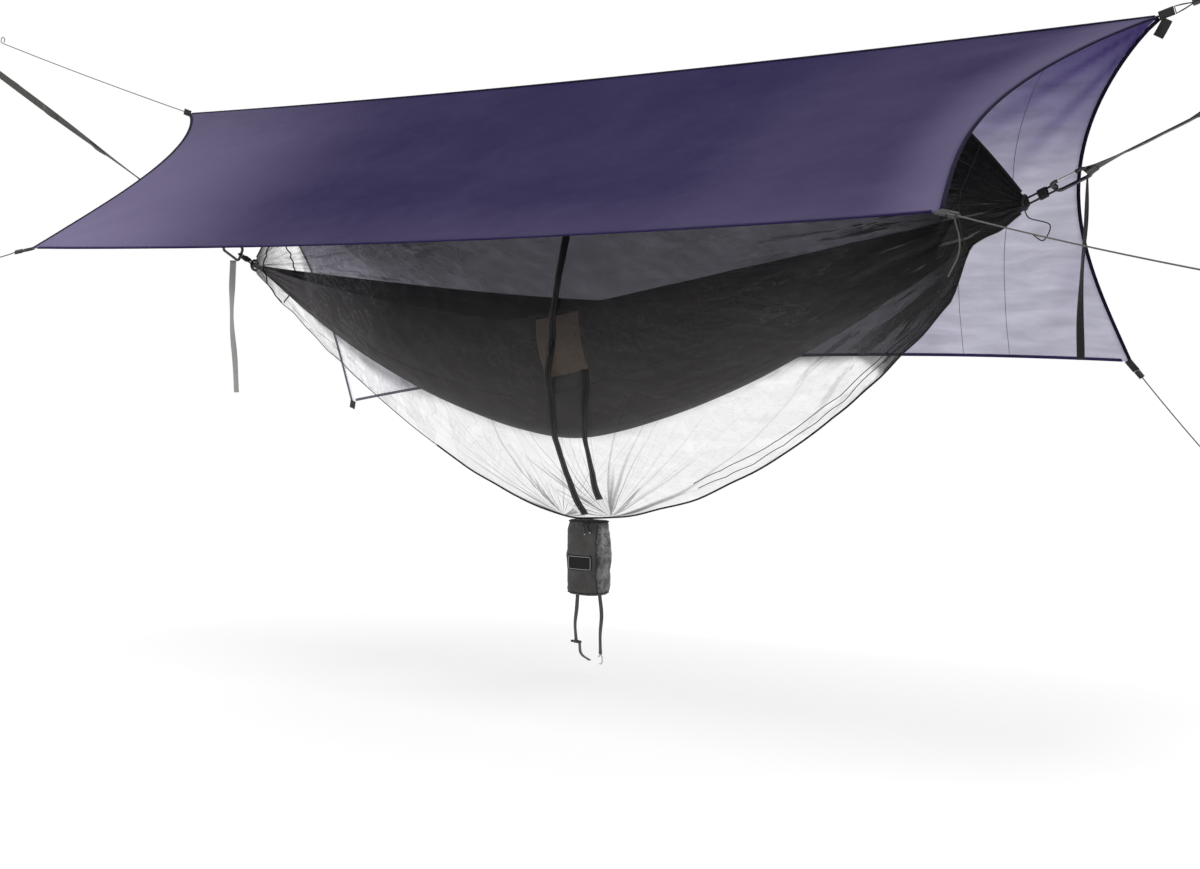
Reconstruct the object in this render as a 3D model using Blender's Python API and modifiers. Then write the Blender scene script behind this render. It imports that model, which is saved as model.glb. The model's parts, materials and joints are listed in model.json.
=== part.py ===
import bmesh
import bpy
from math import asin, cos, pi, radians, sin, sqrt, tan
from mathutils import Matrix, Vector

# Lengths are metres, with the ridge along X, the open porch side at -Y and +Z up.
# The origin is the middle of the line between the two ends of the hammock.

# Clearances
SEAT_GAP = 0.0003
CLOTH_GAP = 0.0006
TAB_GAP = 0.0006

# Hang line and straps
HANG_HALF_SPAN = 1.285
HANG_RISE = 0.032
LEFT_STRAP_RUN = 1.453
LEFT_STRAP_RISE = 0.817
RIGHT_STRAP_RUN = 0.436
RIGHT_STRAP_RISE = 0.181
STRAP_WIDTH = 0.025
STRAP_THICKNESS = 0.0018
STRAP_SEWN_LENGTH = 0.022
TREE_EYE_RADIUS = 0.022
TREE_EYE_NECK = 0.07
TAIL_WIDTH = 0.02
TAIL_THICKNESS = 0.0015
LEFT_TAIL_LENGTH = 0.43
RIGHT_TAIL_LENGTH = 0.42
TAIL_DRIFT = 0.012
LEFT_TAIL_PLACE = 0.043
RIGHT_TAIL_PLACE = 0.002

# Carabiners
CARABINER_LENGTH = 0.085
CARABINER_WIDTH = 0.046
CARABINER_CORNER = 0.010
CARABINER_ROD = 0.0045
GATE_ROD = 0.0022
GATE_START = 0.020
GATE_END = 0.064
GATE_HINGE_GAP = 0.0016
RIGHT_RING_TURN = 1.31

# Hammock
HAMMOCK_DEPTH = 0.55
NEAR_RIM_DROP = 0.233
FAR_RIM_DROP = 0.16
NEAR_HALF_WIDTH = 0.30
FAR_HALF_WIDTH = 0.24
HAMMOCK_THICKNESS = 0.001
PLEAT_DEPTH = 0.006
GATHER_LENGTH = 0.085
GATHER_RADIUS = 0.028
GATHER_TIP_RADIUS = 0.0112
LOOP_LENGTH = 0.08
LOOP_CORD = 0.0025
LOOP_PLAY = 0.0008
POCKET_WIDTH = 0.13
POCKET_THICKNESS = 0.005
POCKET_PLACE = 0.155

# Insect net
NET_NEAR_HALF_WIDTH = 0.40
NET_FAR_HALF_WIDTH = 0.345
NET_TOP = 0.30
NET_SLOPE_LENGTH = 0.285
NET_BOTTOM = 0.77
NET_THICKNESS = 0.0008
NET_SEAM_HALF_GAP = 0.0012
NET_FOLD_DEPTH = 0.012
CUFF_RING = 0.004
CUFF_PLAY = 0.0013
NET_HEM_CORD = 0.0025
NET_END_INSET = 0.0006

# Net zip
ZIP_WIDTH = 0.022
ZIP_THICKNESS = 0.0012
ZIP_BOW = 0.18
ZIP_LEAN = 0.035
FLAP_TOP_PLACE = 0.305
FLAP_BOTTOM_PLACE = 0.145
SLIDER_LENGTH = 0.018
SLIDER_WIDTH = 0.012
SLIDER_THICKNESS = 0.005
PULL_LENGTH = 0.032
PULL_WIDTH = 0.008
PULL_THICKNESS = 0.002

# Stuff sack under the net
SACK_PLACE = 0.04
SACK_KNOT_RADIUS = 0.006
SACK_WIDTH = 0.115
SACK_DEPTH = 0.066
SACK_HEIGHT = 0.195
SACK_SIDE_THICKNESS = 0.004
SACK_TAIL_WIDTH = 0.011
SACK_TAIL_THICKNESS = 0.0014
SACK_TAIL_LONG = 0.165
SACK_TAIL_SHORT = 0.132
SACK_TAIL_INSET = 0.02
TOGGLE_LENGTH = 0.034
TOGGLE_RADIUS = 0.0035
TOGGLE_STRAP_LENGTH = 0.058
CLIP_LENGTH = 0.030
CLIP_WIDTH = 0.015
CLIP_ROD = 0.0018

# Tarp
RIDGE_LENGTH = 3.194
RIDGE_LEFT_HEIGHT = 0.503
RIDGE_RIGHT_HEIGHT = 0.408
RIDGE_SAG = 0.018
RIDGE_SEAM_HALF_GAP = 0.0007
NEAR_SPREAD = 0.827
NEAR_LEFT_REACH = 1.294
NEAR_LEFT_DROP = 0.017
NEAR_RIGHT_REACH = 1.443
NEAR_RIGHT_DROP = 0.086
NEAR_EDGE_SAG = 0.055
NEAR_BELLY = 0.02
FAR_SPREAD = 0.48
FAR_LEFT_REACH = 1.32
FAR_LEFT_DROP = 0.456
FAR_RIGHT_REACH = 1.379
FAR_RIGHT_DROP = 0.345
FAR_EDGE_SAG = 0.0
FAR_BELLY = 0.012
END_CUT = 0.165
EDGE_CUT = 0.08
TARP_THICKNESS = 0.001
RIDGE_TAPE_WIDTH = 0.014
RIDGE_TAPE_THICKNESS = 0.0012
BINDING_WIDTH = 0.009
BINDING_THICKNESS = 0.0022
TAB_LENGTH = 0.03
TAB_WIDTH = 0.02
TAB_THICKNESS = 0.0026
SIDE_TAG_WIDTH = 0.024
SIDE_TAG_LENGTH = 0.042
SIDE_TAG_THICKNESS = 0.001

# Guy lines, each from its tie point to just outside what holds it
GUY_RADIUS = 0.0015
GUY_EYE_RADIUS = 0.011
GUY_SAG = 0.004
LOCK_LENGTH = 0.022
LOCK_WIDTH = 0.014
LOCK_THICKNESS = 0.007
RIDGE_LOOP_LENGTH = 0.04
RIDGE_LOOP_CORD = 0.0016
RIDGE_LEFT_GUY = Vector((-1.02, 0.0, 0.355))
RIDGE_RIGHT_GUY = Vector((0.105, 0.0, 0.028))
NEAR_LEFT_GUY = Vector((-0.106, -0.079, -0.030))
NEAR_RIGHT_GUY = Vector((0.578, -0.289, -0.153))
FAR_RIGHT_GUY = Vector((0.180, 0.135, -0.259))
FAR_LEFT_PULL = Vector((-0.180, 0.135, -0.259))
GUY_TAIL_LENGTH = 0.11
DRAWCORD_RADIUS = 0.0014
DRAWCORD_DROP = 0.07
DRAWCORD_SPREAD = 0.06

# Shares of the sizes above, chosen by eye
HAMMOCK_BOTTOM_CURVE_SHARE = 1.55
HAMMOCK_NEAR_RIM_SHARE = 1.2
HAMMOCK_FAR_RIM_SHARE = 1.3
HAMMOCK_NARROWING_SHARE = 1.27
NET_LEFT_BOTTOM_CURVE_SHARE = 1.45
NET_RIGHT_BOTTOM_CURVE_SHARE = 2.08
NET_SLOPE_CURVE_SHARE = 1.3
NET_BULGE_SHARE = 1.5
SHARE_ROUNDING = 0.0001
END_CUT_SKEW_SHARE = 0.8
SIDE_PANEL_SHARE = 0.22
POCKET_SHARES = (0.012, 0.17)
ZIP_SHARES = (0.05, 0.95)
FLAP_SHARES = (0.65, 0.95)
ZIP_BOW_SHARE = 1.4
FLAP_BOW_SHARE = 1.5
SLIDER_SHARE = 0.6
BINDING_INSET_SHARE = 0.3
TAPE_INSET_SHARE = 0.03
FOLD_SHARES = (0.3, 0.95)
MIDDLE_SHARE = 0.5
EYE_TURN_SHARE = 0.85
SACK_TAPER_SHARE = 0.35

# Counts
TARP_CELLS = (24, 9)
NET_CELLS = (38, 10)
HAMMOCK_CELLS = 30
SIDE_PANEL_CELLS = 5
CENTRE_PANEL_CELLS = 14
PLEATS = 7
BARE_TABS = ("ridge_left", "far_left")
NET_FOLDS = 4

COLOURS = {
    "tarp_fabric": ((0.065, 0.045, 0.155), 0.55, 0.0),
    "binding": ((0.02, 0.016, 0.04), 0.7, 0.0),
    "webbing": ((0.035, 0.035, 0.038), 0.8, 0.0),
    "strap_grey": ((0.16, 0.16, 0.15), 0.8, 0.0),
    "guy_cord": ((0.25, 0.25, 0.23), 0.8, 0.0),
    "black_cord": ((0.012, 0.012, 0.014), 0.8, 0.0),
    "black_plastic": ((0.015, 0.015, 0.016), 0.45, 0.0),
    "hammock_fabric": ((0.022, 0.02, 0.026), 0.6, 0.0),
    "pocket_fabric": ((0.13, 0.075, 0.04), 0.7, 0.0),
    "net_mesh": ((0.02, 0.02, 0.02), 0.8, 0.0),
    "zip_tape": ((0.012, 0.012, 0.013), 0.7, 0.0),
    "sack_fabric": ((0.03, 0.03, 0.032), 0.6, 0.0),
    "sack_side_mesh": ((0.3, 0.3, 0.3), 0.7, 0.0),
    "alloy": ((0.55, 0.55, 0.57), 0.35, 1.0),
}

ACROSS = Vector((0.0, 1.0, 0.0))
UP = Vector((0.0, 0.0, 1.0))

for stale in list(bpy.data.objects):
    bpy.data.objects.remove(stale, do_unlink=True)

tent = bpy.data.collections.new("hammock_tent")
bpy.context.scene.collection.children.link(tent)


def material(slot):
    made = bpy.data.materials.get(slot)
    if made:
        return made
    colour, roughness, metallic = COLOURS[slot]
    made = bpy.data.materials.new(slot)
    made.use_nodes = True
    shader = made.node_tree.nodes["Principled BSDF"]
    shader.inputs["Base Color"].default_value = (*colour, 1.0)
    shader.inputs["Roughness"].default_value = roughness
    shader.inputs["Metallic"].default_value = metallic
    return made


def pivot(name, place, parent=None):
    empty = bpy.data.objects.new(name, None)
    empty.location = place
    tent.objects.link(empty)
    if parent:
        hold(empty, parent)
    return empty


def hold(child, parent):
    """The child keeps its place in the world under its parent."""
    bpy.context.view_layer.update()
    child.parent = parent
    child.matrix_parent_inverse = parent.matrix_world.inverted()


def finish(name, data, slot, parent=None, matrix=None):
    thing = bpy.data.objects.new(name, data)
    data.materials.append(material(slot))
    tent.objects.link(thing)
    if matrix:
        thing.matrix_world = matrix
    if parent:
        hold(thing, parent)
    return thing


def sheet(name, cells, place, thickness, slot, parent=None):
    """A grid bent by a rule, u along and v across, then given its cloth thickness."""
    mesh = bpy.data.meshes.new(name)
    shape = bmesh.new()
    bmesh.ops.create_grid(shape, x_segments=cells[0], y_segments=cells[1], size=0.5)
    for corner in shape.verts:
        corner.co = place(corner.co.x + 0.5, corner.co.y + 0.5)
    shape.to_mesh(mesh)
    shape.free()
    thing = finish(name, mesh, slot, parent)
    wall = thing.modifiers.new("cloth", "SOLIDIFY")
    wall.thickness = thickness
    wall.offset = 0.0
    return thing


def ribbon(name, path, width_way, width, thickness, slot, parent=None):
    """Flat webbing along a path, its width lying along width_way."""
    steps = len(path) - 1

    def place(u, v):
        return path[round(u * steps)] + width_way * ((v - 0.5) * width)

    return sheet(name, (steps, 1), place, thickness, slot, parent)


def cord(name, path, radius, slot, parent=None, closed=False):
    curve = bpy.data.curves.new(name, "CURVE")
    curve.dimensions = "3D"
    curve.bevel_depth = radius
    curve.bevel_resolution = 2
    curve.use_fill_caps = not closed
    line = curve.splines.new("POLY")
    line.points.add(len(path) - 1)
    for point, place in zip(line.points, path):
        point.co = (*place, 1.0)
    line.use_cyclic_u = closed
    return finish(name, curve, slot, parent)


def block(name, matrix, size, slot, edge, parent=None):
    """A box with rounded edges, centred on the matrix."""
    mesh = bpy.data.meshes.new(name)
    shape = bmesh.new()
    bmesh.ops.create_cube(shape, size=1.0)
    for corner in shape.verts:
        corner.co = Vector((corner.co.x * size[0], corner.co.y * size[1], corner.co.z * size[2]))
    shape.to_mesh(mesh)
    shape.free()
    thing = finish(name, mesh, slot, parent, matrix)
    rounding = thing.modifiers.new("rounding", "BEVEL")
    rounding.width = edge
    rounding.segments = 1
    return thing


def frame_at(place, along, across):
    """A matrix at a place with X along one way and Y as near as it can be to the other."""
    x = along.normalized()
    z = x.cross(across).normalized()
    y = z.cross(x)
    turned = Matrix((x, y, z)).transposed().to_4x4()
    return Matrix.Translation(place) @ turned


def smooth(route, steps):
    """Points on a smooth curve through a route's own points, steps to each span."""
    held = [route[0] * 2 - route[1], *route, route[-1] * 2 - route[-2]]
    path = []
    for a, b, c, d in zip(held, held[1:], held[2:], held[3:]):
        for step in range(steps):
            t = step / steps
            bend = (b * 2 + (c - a) * t + (a * 2 - b * 5 + c * 4 - d) * t ** 2
                    + (b * 3 - a - c * 3 + d) * t ** 3)
            path.append(bend / 2)
    path.append(route[-1])
    return path


def hang_height(x):
    return HANG_RISE * x / (2 * HANG_HALF_SPAN)


def spread(u, reach):
    """A place along X with its cells closer together towards both ends."""
    return reach * sin(pi * (u - 0.5))


# Tarp
RIDGE_ENDS = (
    Vector((-RIDGE_LENGTH / 2, 0.0, RIDGE_LEFT_HEIGHT)),
    Vector((RIDGE_LENGTH / 2, 0.0, RIDGE_RIGHT_HEIGHT)),
)
NEAR_CORNERS = (
    Vector((-NEAR_LEFT_REACH, -NEAR_SPREAD, -NEAR_LEFT_DROP)),
    Vector((NEAR_RIGHT_REACH, -NEAR_SPREAD, -NEAR_RIGHT_DROP)),
)
FAR_CORNERS = (
    Vector((-FAR_LEFT_REACH, FAR_SPREAD, -FAR_LEFT_DROP)),
    Vector((FAR_RIGHT_REACH, FAR_SPREAD, -FAR_RIGHT_DROP)),
)


def tarp_point(u, v, corners, edge_sag, belly, side):
    """A point of one tarp panel: u from left to right, v from the ridge to its long edge."""
    bow = 4 * u * (1 - u)
    top = RIDGE_ENDS[0].lerp(RIDGE_ENDS[1], u) - UP * (RIDGE_SAG * bow)
    top = top + ACROSS * (side * RIDGE_SEAM_HALF_GAP)
    edge = corners[0].lerp(corners[1], u)
    inward = (top - edge).normalized()
    edge = edge + inward * (EDGE_CUT * bow) - UP * (edge_sag * bow)
    point = top.lerp(edge, v)
    point.x = point.x + END_CUT * sin(pi * v ** END_CUT_SKEW_SHARE) * (1 - 2 * u)
    point.z = point.z - belly * bow * sin(pi * v)
    return point


def near_point(u, v):
    return tarp_point(u, v, NEAR_CORNERS, NEAR_EDGE_SAG, NEAR_BELLY, -1)


def far_point(u, v):
    return tarp_point(u, v, FAR_CORNERS, FAR_EDGE_SAG, FAR_BELLY, 1)


def ridge_tape_point(u, v):
    """The tape folds over the ridge, so each half lies along its own panel."""
    lift = (TARP_THICKNESS + RIDGE_TAPE_THICKNESS) / 2 + CLOTH_GAP + RIDGE_SEAM_HALF_GAP
    downs = []
    outs = []
    for panel, side in ((near_point, -1), (far_point, 1)):
        down = panel(u, 1 / TARP_CELLS[1]) - panel(u, 0.0)
        down.x = 0.0
        down.normalize()
        downs.append(down)
        outs.append(Vector((0.0, -side * down.z, side * down.y)))
    ridge = (near_point(u, 0.0) + far_point(u, 0.0)) / 2
    crown = ridge + (outs[0] + outs[1]) * (lift / (1 + outs[0].dot(outs[1])))
    down = downs[0] if v < 0.5 else downs[1]
    return crown + down * (abs(2 * v - 1) * RIDGE_TAPE_WIDTH / 2)


def ridge_tape_place(u, v):
    """The tape stops a little short of both ends of the ridge, along its first facets."""
    cell = 1 / TARP_CELLS[0]
    if u < cell / 2:
        return ridge_tape_point(0.0, v).lerp(ridge_tape_point(cell, v), TAPE_INSET_SHARE)
    if u > 1 - cell / 2:
        return ridge_tape_point(1.0, v).lerp(ridge_tape_point(1 - cell, v), TAPE_INSET_SHARE)
    return ridge_tape_point(u, v)


def make_tarp():
    sheet("tarp_near_panel", TARP_CELLS, near_point, TARP_THICKNESS, "tarp_fabric")
    sheet("tarp_far_panel", TARP_CELLS, far_point, TARP_THICKNESS, "tarp_fabric")
    sheet("tarp_ridge_tape", (TARP_CELLS[0], 2), ridge_tape_place, RIDGE_TAPE_THICKNESS, "binding")
    for side, panel in (("near", near_point), ("far", far_point)):
        for end, u in (("left", 0.0), ("right", 1.0)):
            make_binding(f"tarp_binding_{side}_{end}", panel, u)


def make_binding(name, panel, u):
    """The hem of one shaped end edge, its stations on those of the panel beside it."""
    rows = TARP_CELLS[1]
    edge = [panel(u, row / rows) for row in range(rows + 1)]
    edge[0] = edge[0].lerp(edge[1], BINDING_INSET_SHARE)
    edge[-1] = edge[-1].lerp(edge[-2], BINDING_INSET_SHARE)
    inner = [panel(abs(u - 1 / TARP_CELLS[0]), row / rows) for row in range(rows + 1)]

    def place(s, w):
        row = round(s * rows)
        run = (edge[min(row + 1, rows)] - edge[max(row - 1, 0)]).normalized()
        outward = edge[row] - inner[row]
        outward = (outward - run * outward.dot(run)).normalized()
        return edge[row] + outward * (CLOTH_GAP + BINDING_WIDTH * w)

    sheet(name, (rows, 1), place, BINDING_THICKNESS, "binding")


def guy_with_eye(name, start, run):
    """A taut line that ends in a small eye."""
    way = run.normalized()
    stretch = run.length - 2 * GUY_EYE_RADIUS
    steps = max(8, round(stretch / (GUY_EYE_RADIUS * 4)))
    path = []
    for step in range(steps + 1):
        t = step / steps
        path.append(start + way * (stretch * t) - UP * (GUY_SAG * 4 * t * (1 - t)))
    rise = way.cross(ACROSS).normalized() * -1
    if rise.z < 0:
        rise = -rise
    hub = path[-1] + rise * GUY_EYE_RADIUS
    turns = 9
    for step in range(1, turns + 1):
        angle = -pi / 2 + 2 * pi * EYE_TURN_SHARE * step / turns
        path.append(hub + way * (GUY_EYE_RADIUS * cos(angle)) + rise * (GUY_EYE_RADIUS * sin(angle)))
    return cord(name, path, GUY_RADIUS, "guy_cord")



def tie_point(name, corner, pull, face, line_run=None):
    """A webbing tab at a corner of the tarp, its line lock, and the line where there is one."""
    way = pull.normalized()
    tab_middle = corner + way * (TAB_GAP + TAB_LENGTH / 2)
    block(f"tab_{name}", frame_at(tab_middle, way, face), (TAB_LENGTH, TAB_WIDTH, TAB_THICKNESS),
          "webbing", TAB_THICKNESS / 3)
    reach = TAB_GAP + TAB_LENGTH + SEAT_GAP
    if name == "ridge_right":
        reach = ridge_loop(corner, way, face, reach)
    lock_middle = corner + way * (reach + LOCK_LENGTH / 2)
    if name not in BARE_TABS:
        block(f"lock_{name}", frame_at(lock_middle, way, face),
              (LOCK_LENGTH, LOCK_WIDTH, LOCK_THICKNESS), "black_plastic", LOCK_THICKNESS / 4)
        reach = reach + LOCK_LENGTH + SEAT_GAP
    start = corner + way * reach
    if line_run:
        guy_with_eye(f"guy_line_{name}", start, line_run)
    return start, lock_middle


def ridge_loop(corner, way, face, reach):
    """Two strands from the tab that meet at the line lock."""
    side = (face - way * face.dot(way)).normalized()
    base = corner + way * (reach + RIDGE_LOOP_CORD)
    wide = side * (TAB_WIDTH / 2 - RIDGE_LOOP_CORD)
    near_lock = way * (RIDGE_LOOP_LENGTH - RIDGE_LOOP_CORD * 2)
    close = side * (RIDGE_LOOP_CORD * 2)
    route = [base + wide, base + near_lock * MIDDLE_SHARE + (wide + close) / 2,
             base + near_lock + close * MIDDLE_SHARE, base + near_lock - close * MIDDLE_SHARE,
             base + near_lock * MIDDLE_SHARE - (wide + close) / 2, base - wide]
    cord("ridge_loop", route, RIDGE_LOOP_CORD, "black_cord", closed=True)
    return reach + RIDGE_LOOP_LENGTH + SEAT_GAP


def make_tie_points():
    ridge_left, ridge_right = RIDGE_ENDS
    tie_point("ridge_left", ridge_left, RIDGE_LEFT_GUY, UP, RIDGE_LEFT_GUY)
    tie_point("ridge_right", ridge_right, RIDGE_RIGHT_GUY, UP, RIDGE_RIGHT_GUY)
    near_face = near_point(0.5, 0.5) - near_point(0.5, 1.0)
    far_face = far_point(0.5, 0.5) - far_point(0.5, 1.0)
    tie_point("near_left", NEAR_CORNERS[0], NEAR_LEFT_GUY, near_face, NEAR_LEFT_GUY)
    _, lock = tie_point("near_right", NEAR_CORNERS[1], NEAR_RIGHT_GUY, near_face, NEAR_RIGHT_GUY)
    tie_point("far_right", FAR_CORNERS[1], FAR_RIGHT_GUY, far_face, FAR_RIGHT_GUY)
    tie_point("far_left", FAR_CORNERS[0], FAR_LEFT_PULL, far_face)
    under = NEAR_RIGHT_GUY.cross(near_face).normalized()
    if under.z > 0:
        under = -under
    top = lock + under * (LOCK_THICKNESS / 2 + SEAT_GAP)
    route = [top, top + under * (GUY_TAIL_LENGTH / 7),
             top + Vector((0.10, 0.0, -0.38)) * GUY_TAIL_LENGTH,
             top + Vector((0.08, 0.0, -0.65)) * GUY_TAIL_LENGTH,
             top + Vector((-0.10, 0.0, -1.0)) * GUY_TAIL_LENGTH]
    cord("guy_tail_near_right", smooth(route, 6), GUY_RADIUS, "guy_cord")
    ridge_way = RIDGE_RIGHT_GUY.normalized()
    tag_corner = ridge_right + ridge_way * (TAB_GAP + TAB_LENGTH / 2)
    slope = abs(ridge_way.z / ridge_way.x)
    clear = TAB_WIDTH / 2 / ridge_way.x + SIDE_TAG_WIDTH / 2 * slope + SEAT_GAP
    tag_middle = tag_corner - UP * (clear + SIDE_TAG_LENGTH / 2)
    block("tarp_side_tag", frame_at(tag_middle, ACROSS, UP),
          (SIDE_TAG_THICKNESS, SIDE_TAG_LENGTH, SIDE_TAG_WIDTH), "webbing", SIDE_TAG_THICKNESS / 4)


# Hammock
SHEET_HALF = HANG_HALF_SPAN - GATHER_LENGTH


def closeness(x):
    """How near a station is to the end of the hammock, from 0 at its middle to 1."""
    return min(abs(x) / HANG_HALF_SPAN, 1.0)


def hammock_section(x):
    """Bottom, rim heights and half widths of the hammock at one station."""
    s = closeness(x)
    base = hang_height(x)
    bottom = base - HAMMOCK_DEPTH * (1 - s ** HAMMOCK_BOTTOM_CURVE_SHARE)
    near_rim = base - NEAR_RIM_DROP * (1 - s ** HAMMOCK_NEAR_RIM_SHARE)
    far_rim = base - FAR_RIM_DROP * (1 - s ** HAMMOCK_FAR_RIM_SHARE)
    narrow = (1 - s * s) ** HAMMOCK_NARROWING_SHARE
    return bottom, near_rim, far_rim, NEAR_HALF_WIDTH * narrow, FAR_HALF_WIDTH * narrow


def hammock_point(x, w, out=0.0):
    """A point of the bed at one station: w from the near rim to the far rim."""
    bottom, near_rim, far_rim, near_width, far_width = hammock_section(x)
    turn = pi * (w - 0.5)
    width = near_width if w < 0.5 else far_width
    rim = near_rim if w < 0.5 else far_rim
    depth = rim - bottom
    pleat = PLEAT_DEPTH * closeness(x) ** 8 * cos(2 * pi * PLEATS * w)
    width = width + out + pleat
    depth = depth + out + pleat
    return Vector((x, width * sin(turn), rim - depth * cos(turn)))


def hammock_girth(x):
    bottom, near_rim, far_rim, near_width, far_width = hammock_section(x)
    return near_width + far_width + near_rim + far_rim - 2 * bottom


def make_hammock(rocking):
    panels = (
        ("near_side_panel", 0.0, SIDE_PANEL_SHARE, SIDE_PANEL_CELLS),
        ("centre_panel", SIDE_PANEL_SHARE, 1 - SIDE_PANEL_SHARE, CENTRE_PANEL_CELLS),
        ("far_side_panel", 1 - SIDE_PANEL_SHARE, 1.0, SIDE_PANEL_CELLS),
    )
    for name, first, last, cells in panels:

        def place(u, v, first=first, last=last):
            x = spread(u, SHEET_HALF)
            inset = (CLOTH_GAP / 2 + HAMMOCK_THICKNESS / 4) / hammock_girth(x)
            low = first + inset
            high = last - inset
            return hammock_point(x, low + (high - low) * v)

        sheet(f"hammock_{name}", (HAMMOCK_CELLS, cells), place, HAMMOCK_THICKNESS, "hammock_fabric",
              rocking)
    for side, way in (("left", -1), ("right", 1)):
        make_gather(side, way, rocking)

    def pocket(u, v):
        x = POCKET_PLACE + (u - 0.5) * POCKET_WIDTH
        w = POCKET_SHARES[0] + (POCKET_SHARES[1] - POCKET_SHARES[0]) * v
        return hammock_point(x, w, (HAMMOCK_THICKNESS + POCKET_THICKNESS) / 2 + 2 * SEAT_GAP)

    sheet("hammock_pocket", (4, 6), pocket, POCKET_THICKNESS, "pocket_fabric", rocking)


def make_gather(side, way, rocking):
    """The bunched end of the bed, pleated round its rim and drawn in to its tip."""
    name = f"hammock_gather_{side}"
    wide_x = way * (SHEET_HALF + SEAT_GAP)
    bottom, near_rim, far_rim, _, _ = hammock_section(wide_x)
    wide_z = (bottom + (near_rim + far_rim) / 2) / 2
    tip_x = way * HANG_HALF_SPAN
    tip_z = hang_height(tip_x)
    mesh = bpy.data.meshes.new(name)
    shape = bmesh.new()
    bmesh.ops.create_cone(shape, cap_ends=True, segments=24, radius1=GATHER_RADIUS,
                          radius2=GATHER_TIP_RADIUS, depth=GATHER_LENGTH - SEAT_GAP)
    for index, corner in enumerate(shape.verts):
        t = corner.co.z / (GATHER_LENGTH - SEAT_GAP) + 0.5
        fold = 1.0 if index % 4 < 2 else 1 - PLEAT_DEPTH / GATHER_RADIUS
        x = wide_x + (tip_x - wide_x) * t
        z = wide_z + (tip_z - wide_z) * t
        corner.co = Vector((x, corner.co.x * fold, z + corner.co.y * fold))
    if way < 0:
        bmesh.ops.reverse_faces(shape, faces=shape.faces)
    shape.to_mesh(mesh)
    shape.free()
    finish(name, mesh, "hammock_fabric", rocking)


# Suspension
SIDES = (
    ("left", Vector((-HANG_HALF_SPAN, 0.0, hang_height(-HANG_HALF_SPAN))),
     Vector((-LEFT_STRAP_RUN, 0.0, LEFT_STRAP_RISE))),
    ("right", Vector((HANG_HALF_SPAN, 0.0, hang_height(HANG_HALF_SPAN))),
     Vector((RIGHT_STRAP_RUN, 0.0, RIGHT_STRAP_RISE))),
)


def bar_centre(tip, run):
    """The middle of the carabiner bar that the hammock's loop hangs on."""
    return tip + run.normalized() * LOOP_LENGTH


def plane_of(tip, run):
    """Ways along the strap, up the carabiner's width and across it, and the bar's middle."""
    along = run.normalized()
    upward = ACROSS.cross(along)
    if upward.z < 0:
        upward = -upward
    turn = RIGHT_RING_TURN if run.x > 0 else 0.0
    upward, across = (upward * cos(turn) - ACROSS * sin(turn), upward * sin(turn) + ACROSS * cos(turn))
    return along, upward, across, bar_centre(tip, run)


def make_loop(side, tip, run, rocking):
    along, _, across, bar = plane_of(tip, run)
    bend = CARABINER_ROD + LOOP_PLAY + LOOP_CORD
    outer = CARABINER_ROD + SEAT_GAP + LOOP_CORD
    lean = (bend + LOOP_CORD) * abs(across.x / along.x)
    inner = LOOP_LENGTH - SEAT_GAP - LOOP_CORD - lean
    path = []
    for step in range(9):
        angle = pi / 2 - pi * step / 8
        path.append(bar + along * (outer - bend + bend * cos(angle)) + across * (bend * sin(angle)))
    for step in range(9):
        angle = -pi / 2 - pi * step / 8
        path.append(bar + along * (bend - inner + bend * cos(angle)) + across * (bend * sin(angle)))
    cord(f"hammock_loop_{side}", path, LOOP_CORD, "black_cord", rocking, closed=True)


def make_carabiner(side, tip, run):
    along, upward, _, bar = plane_of(tip, run)
    half = CARABINER_WIDTH / 2
    corner = CARABINER_CORNER

    def spot(x, z):
        return bar + along * x + upward * z

    path = [spot(GATE_END, half)]
    corners = (
        (CARABINER_LENGTH - corner, half - corner, pi / 2),
        (CARABINER_LENGTH - corner, corner - half, 0.0),
        (corner, corner - half, -pi / 2),
        (corner, half - corner, -pi),
    )
    for x, z, start in corners:
        for step in range(4):
            angle = start - pi / 2 * step / 3
            path.append(spot(x + corner * cos(angle), z + corner * sin(angle)))
    path.append(spot(GATE_START, half))
    cord(f"carabiner_{side}", path, CARABINER_ROD, "alloy")
    gate_first = spot(GATE_START + GATE_HINGE_GAP, half)
    gate_last = spot(GATE_END - SEAT_GAP, half)
    hinge = pivot(f"gate_axis_{side}", gate_first)
    middle = gate_first.lerp(gate_last, MIDDLE_SHARE)
    cord(f"carabiner_gate_{side}", [gate_first, middle, gate_last], GATE_ROD, "alloy", hinge)


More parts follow.
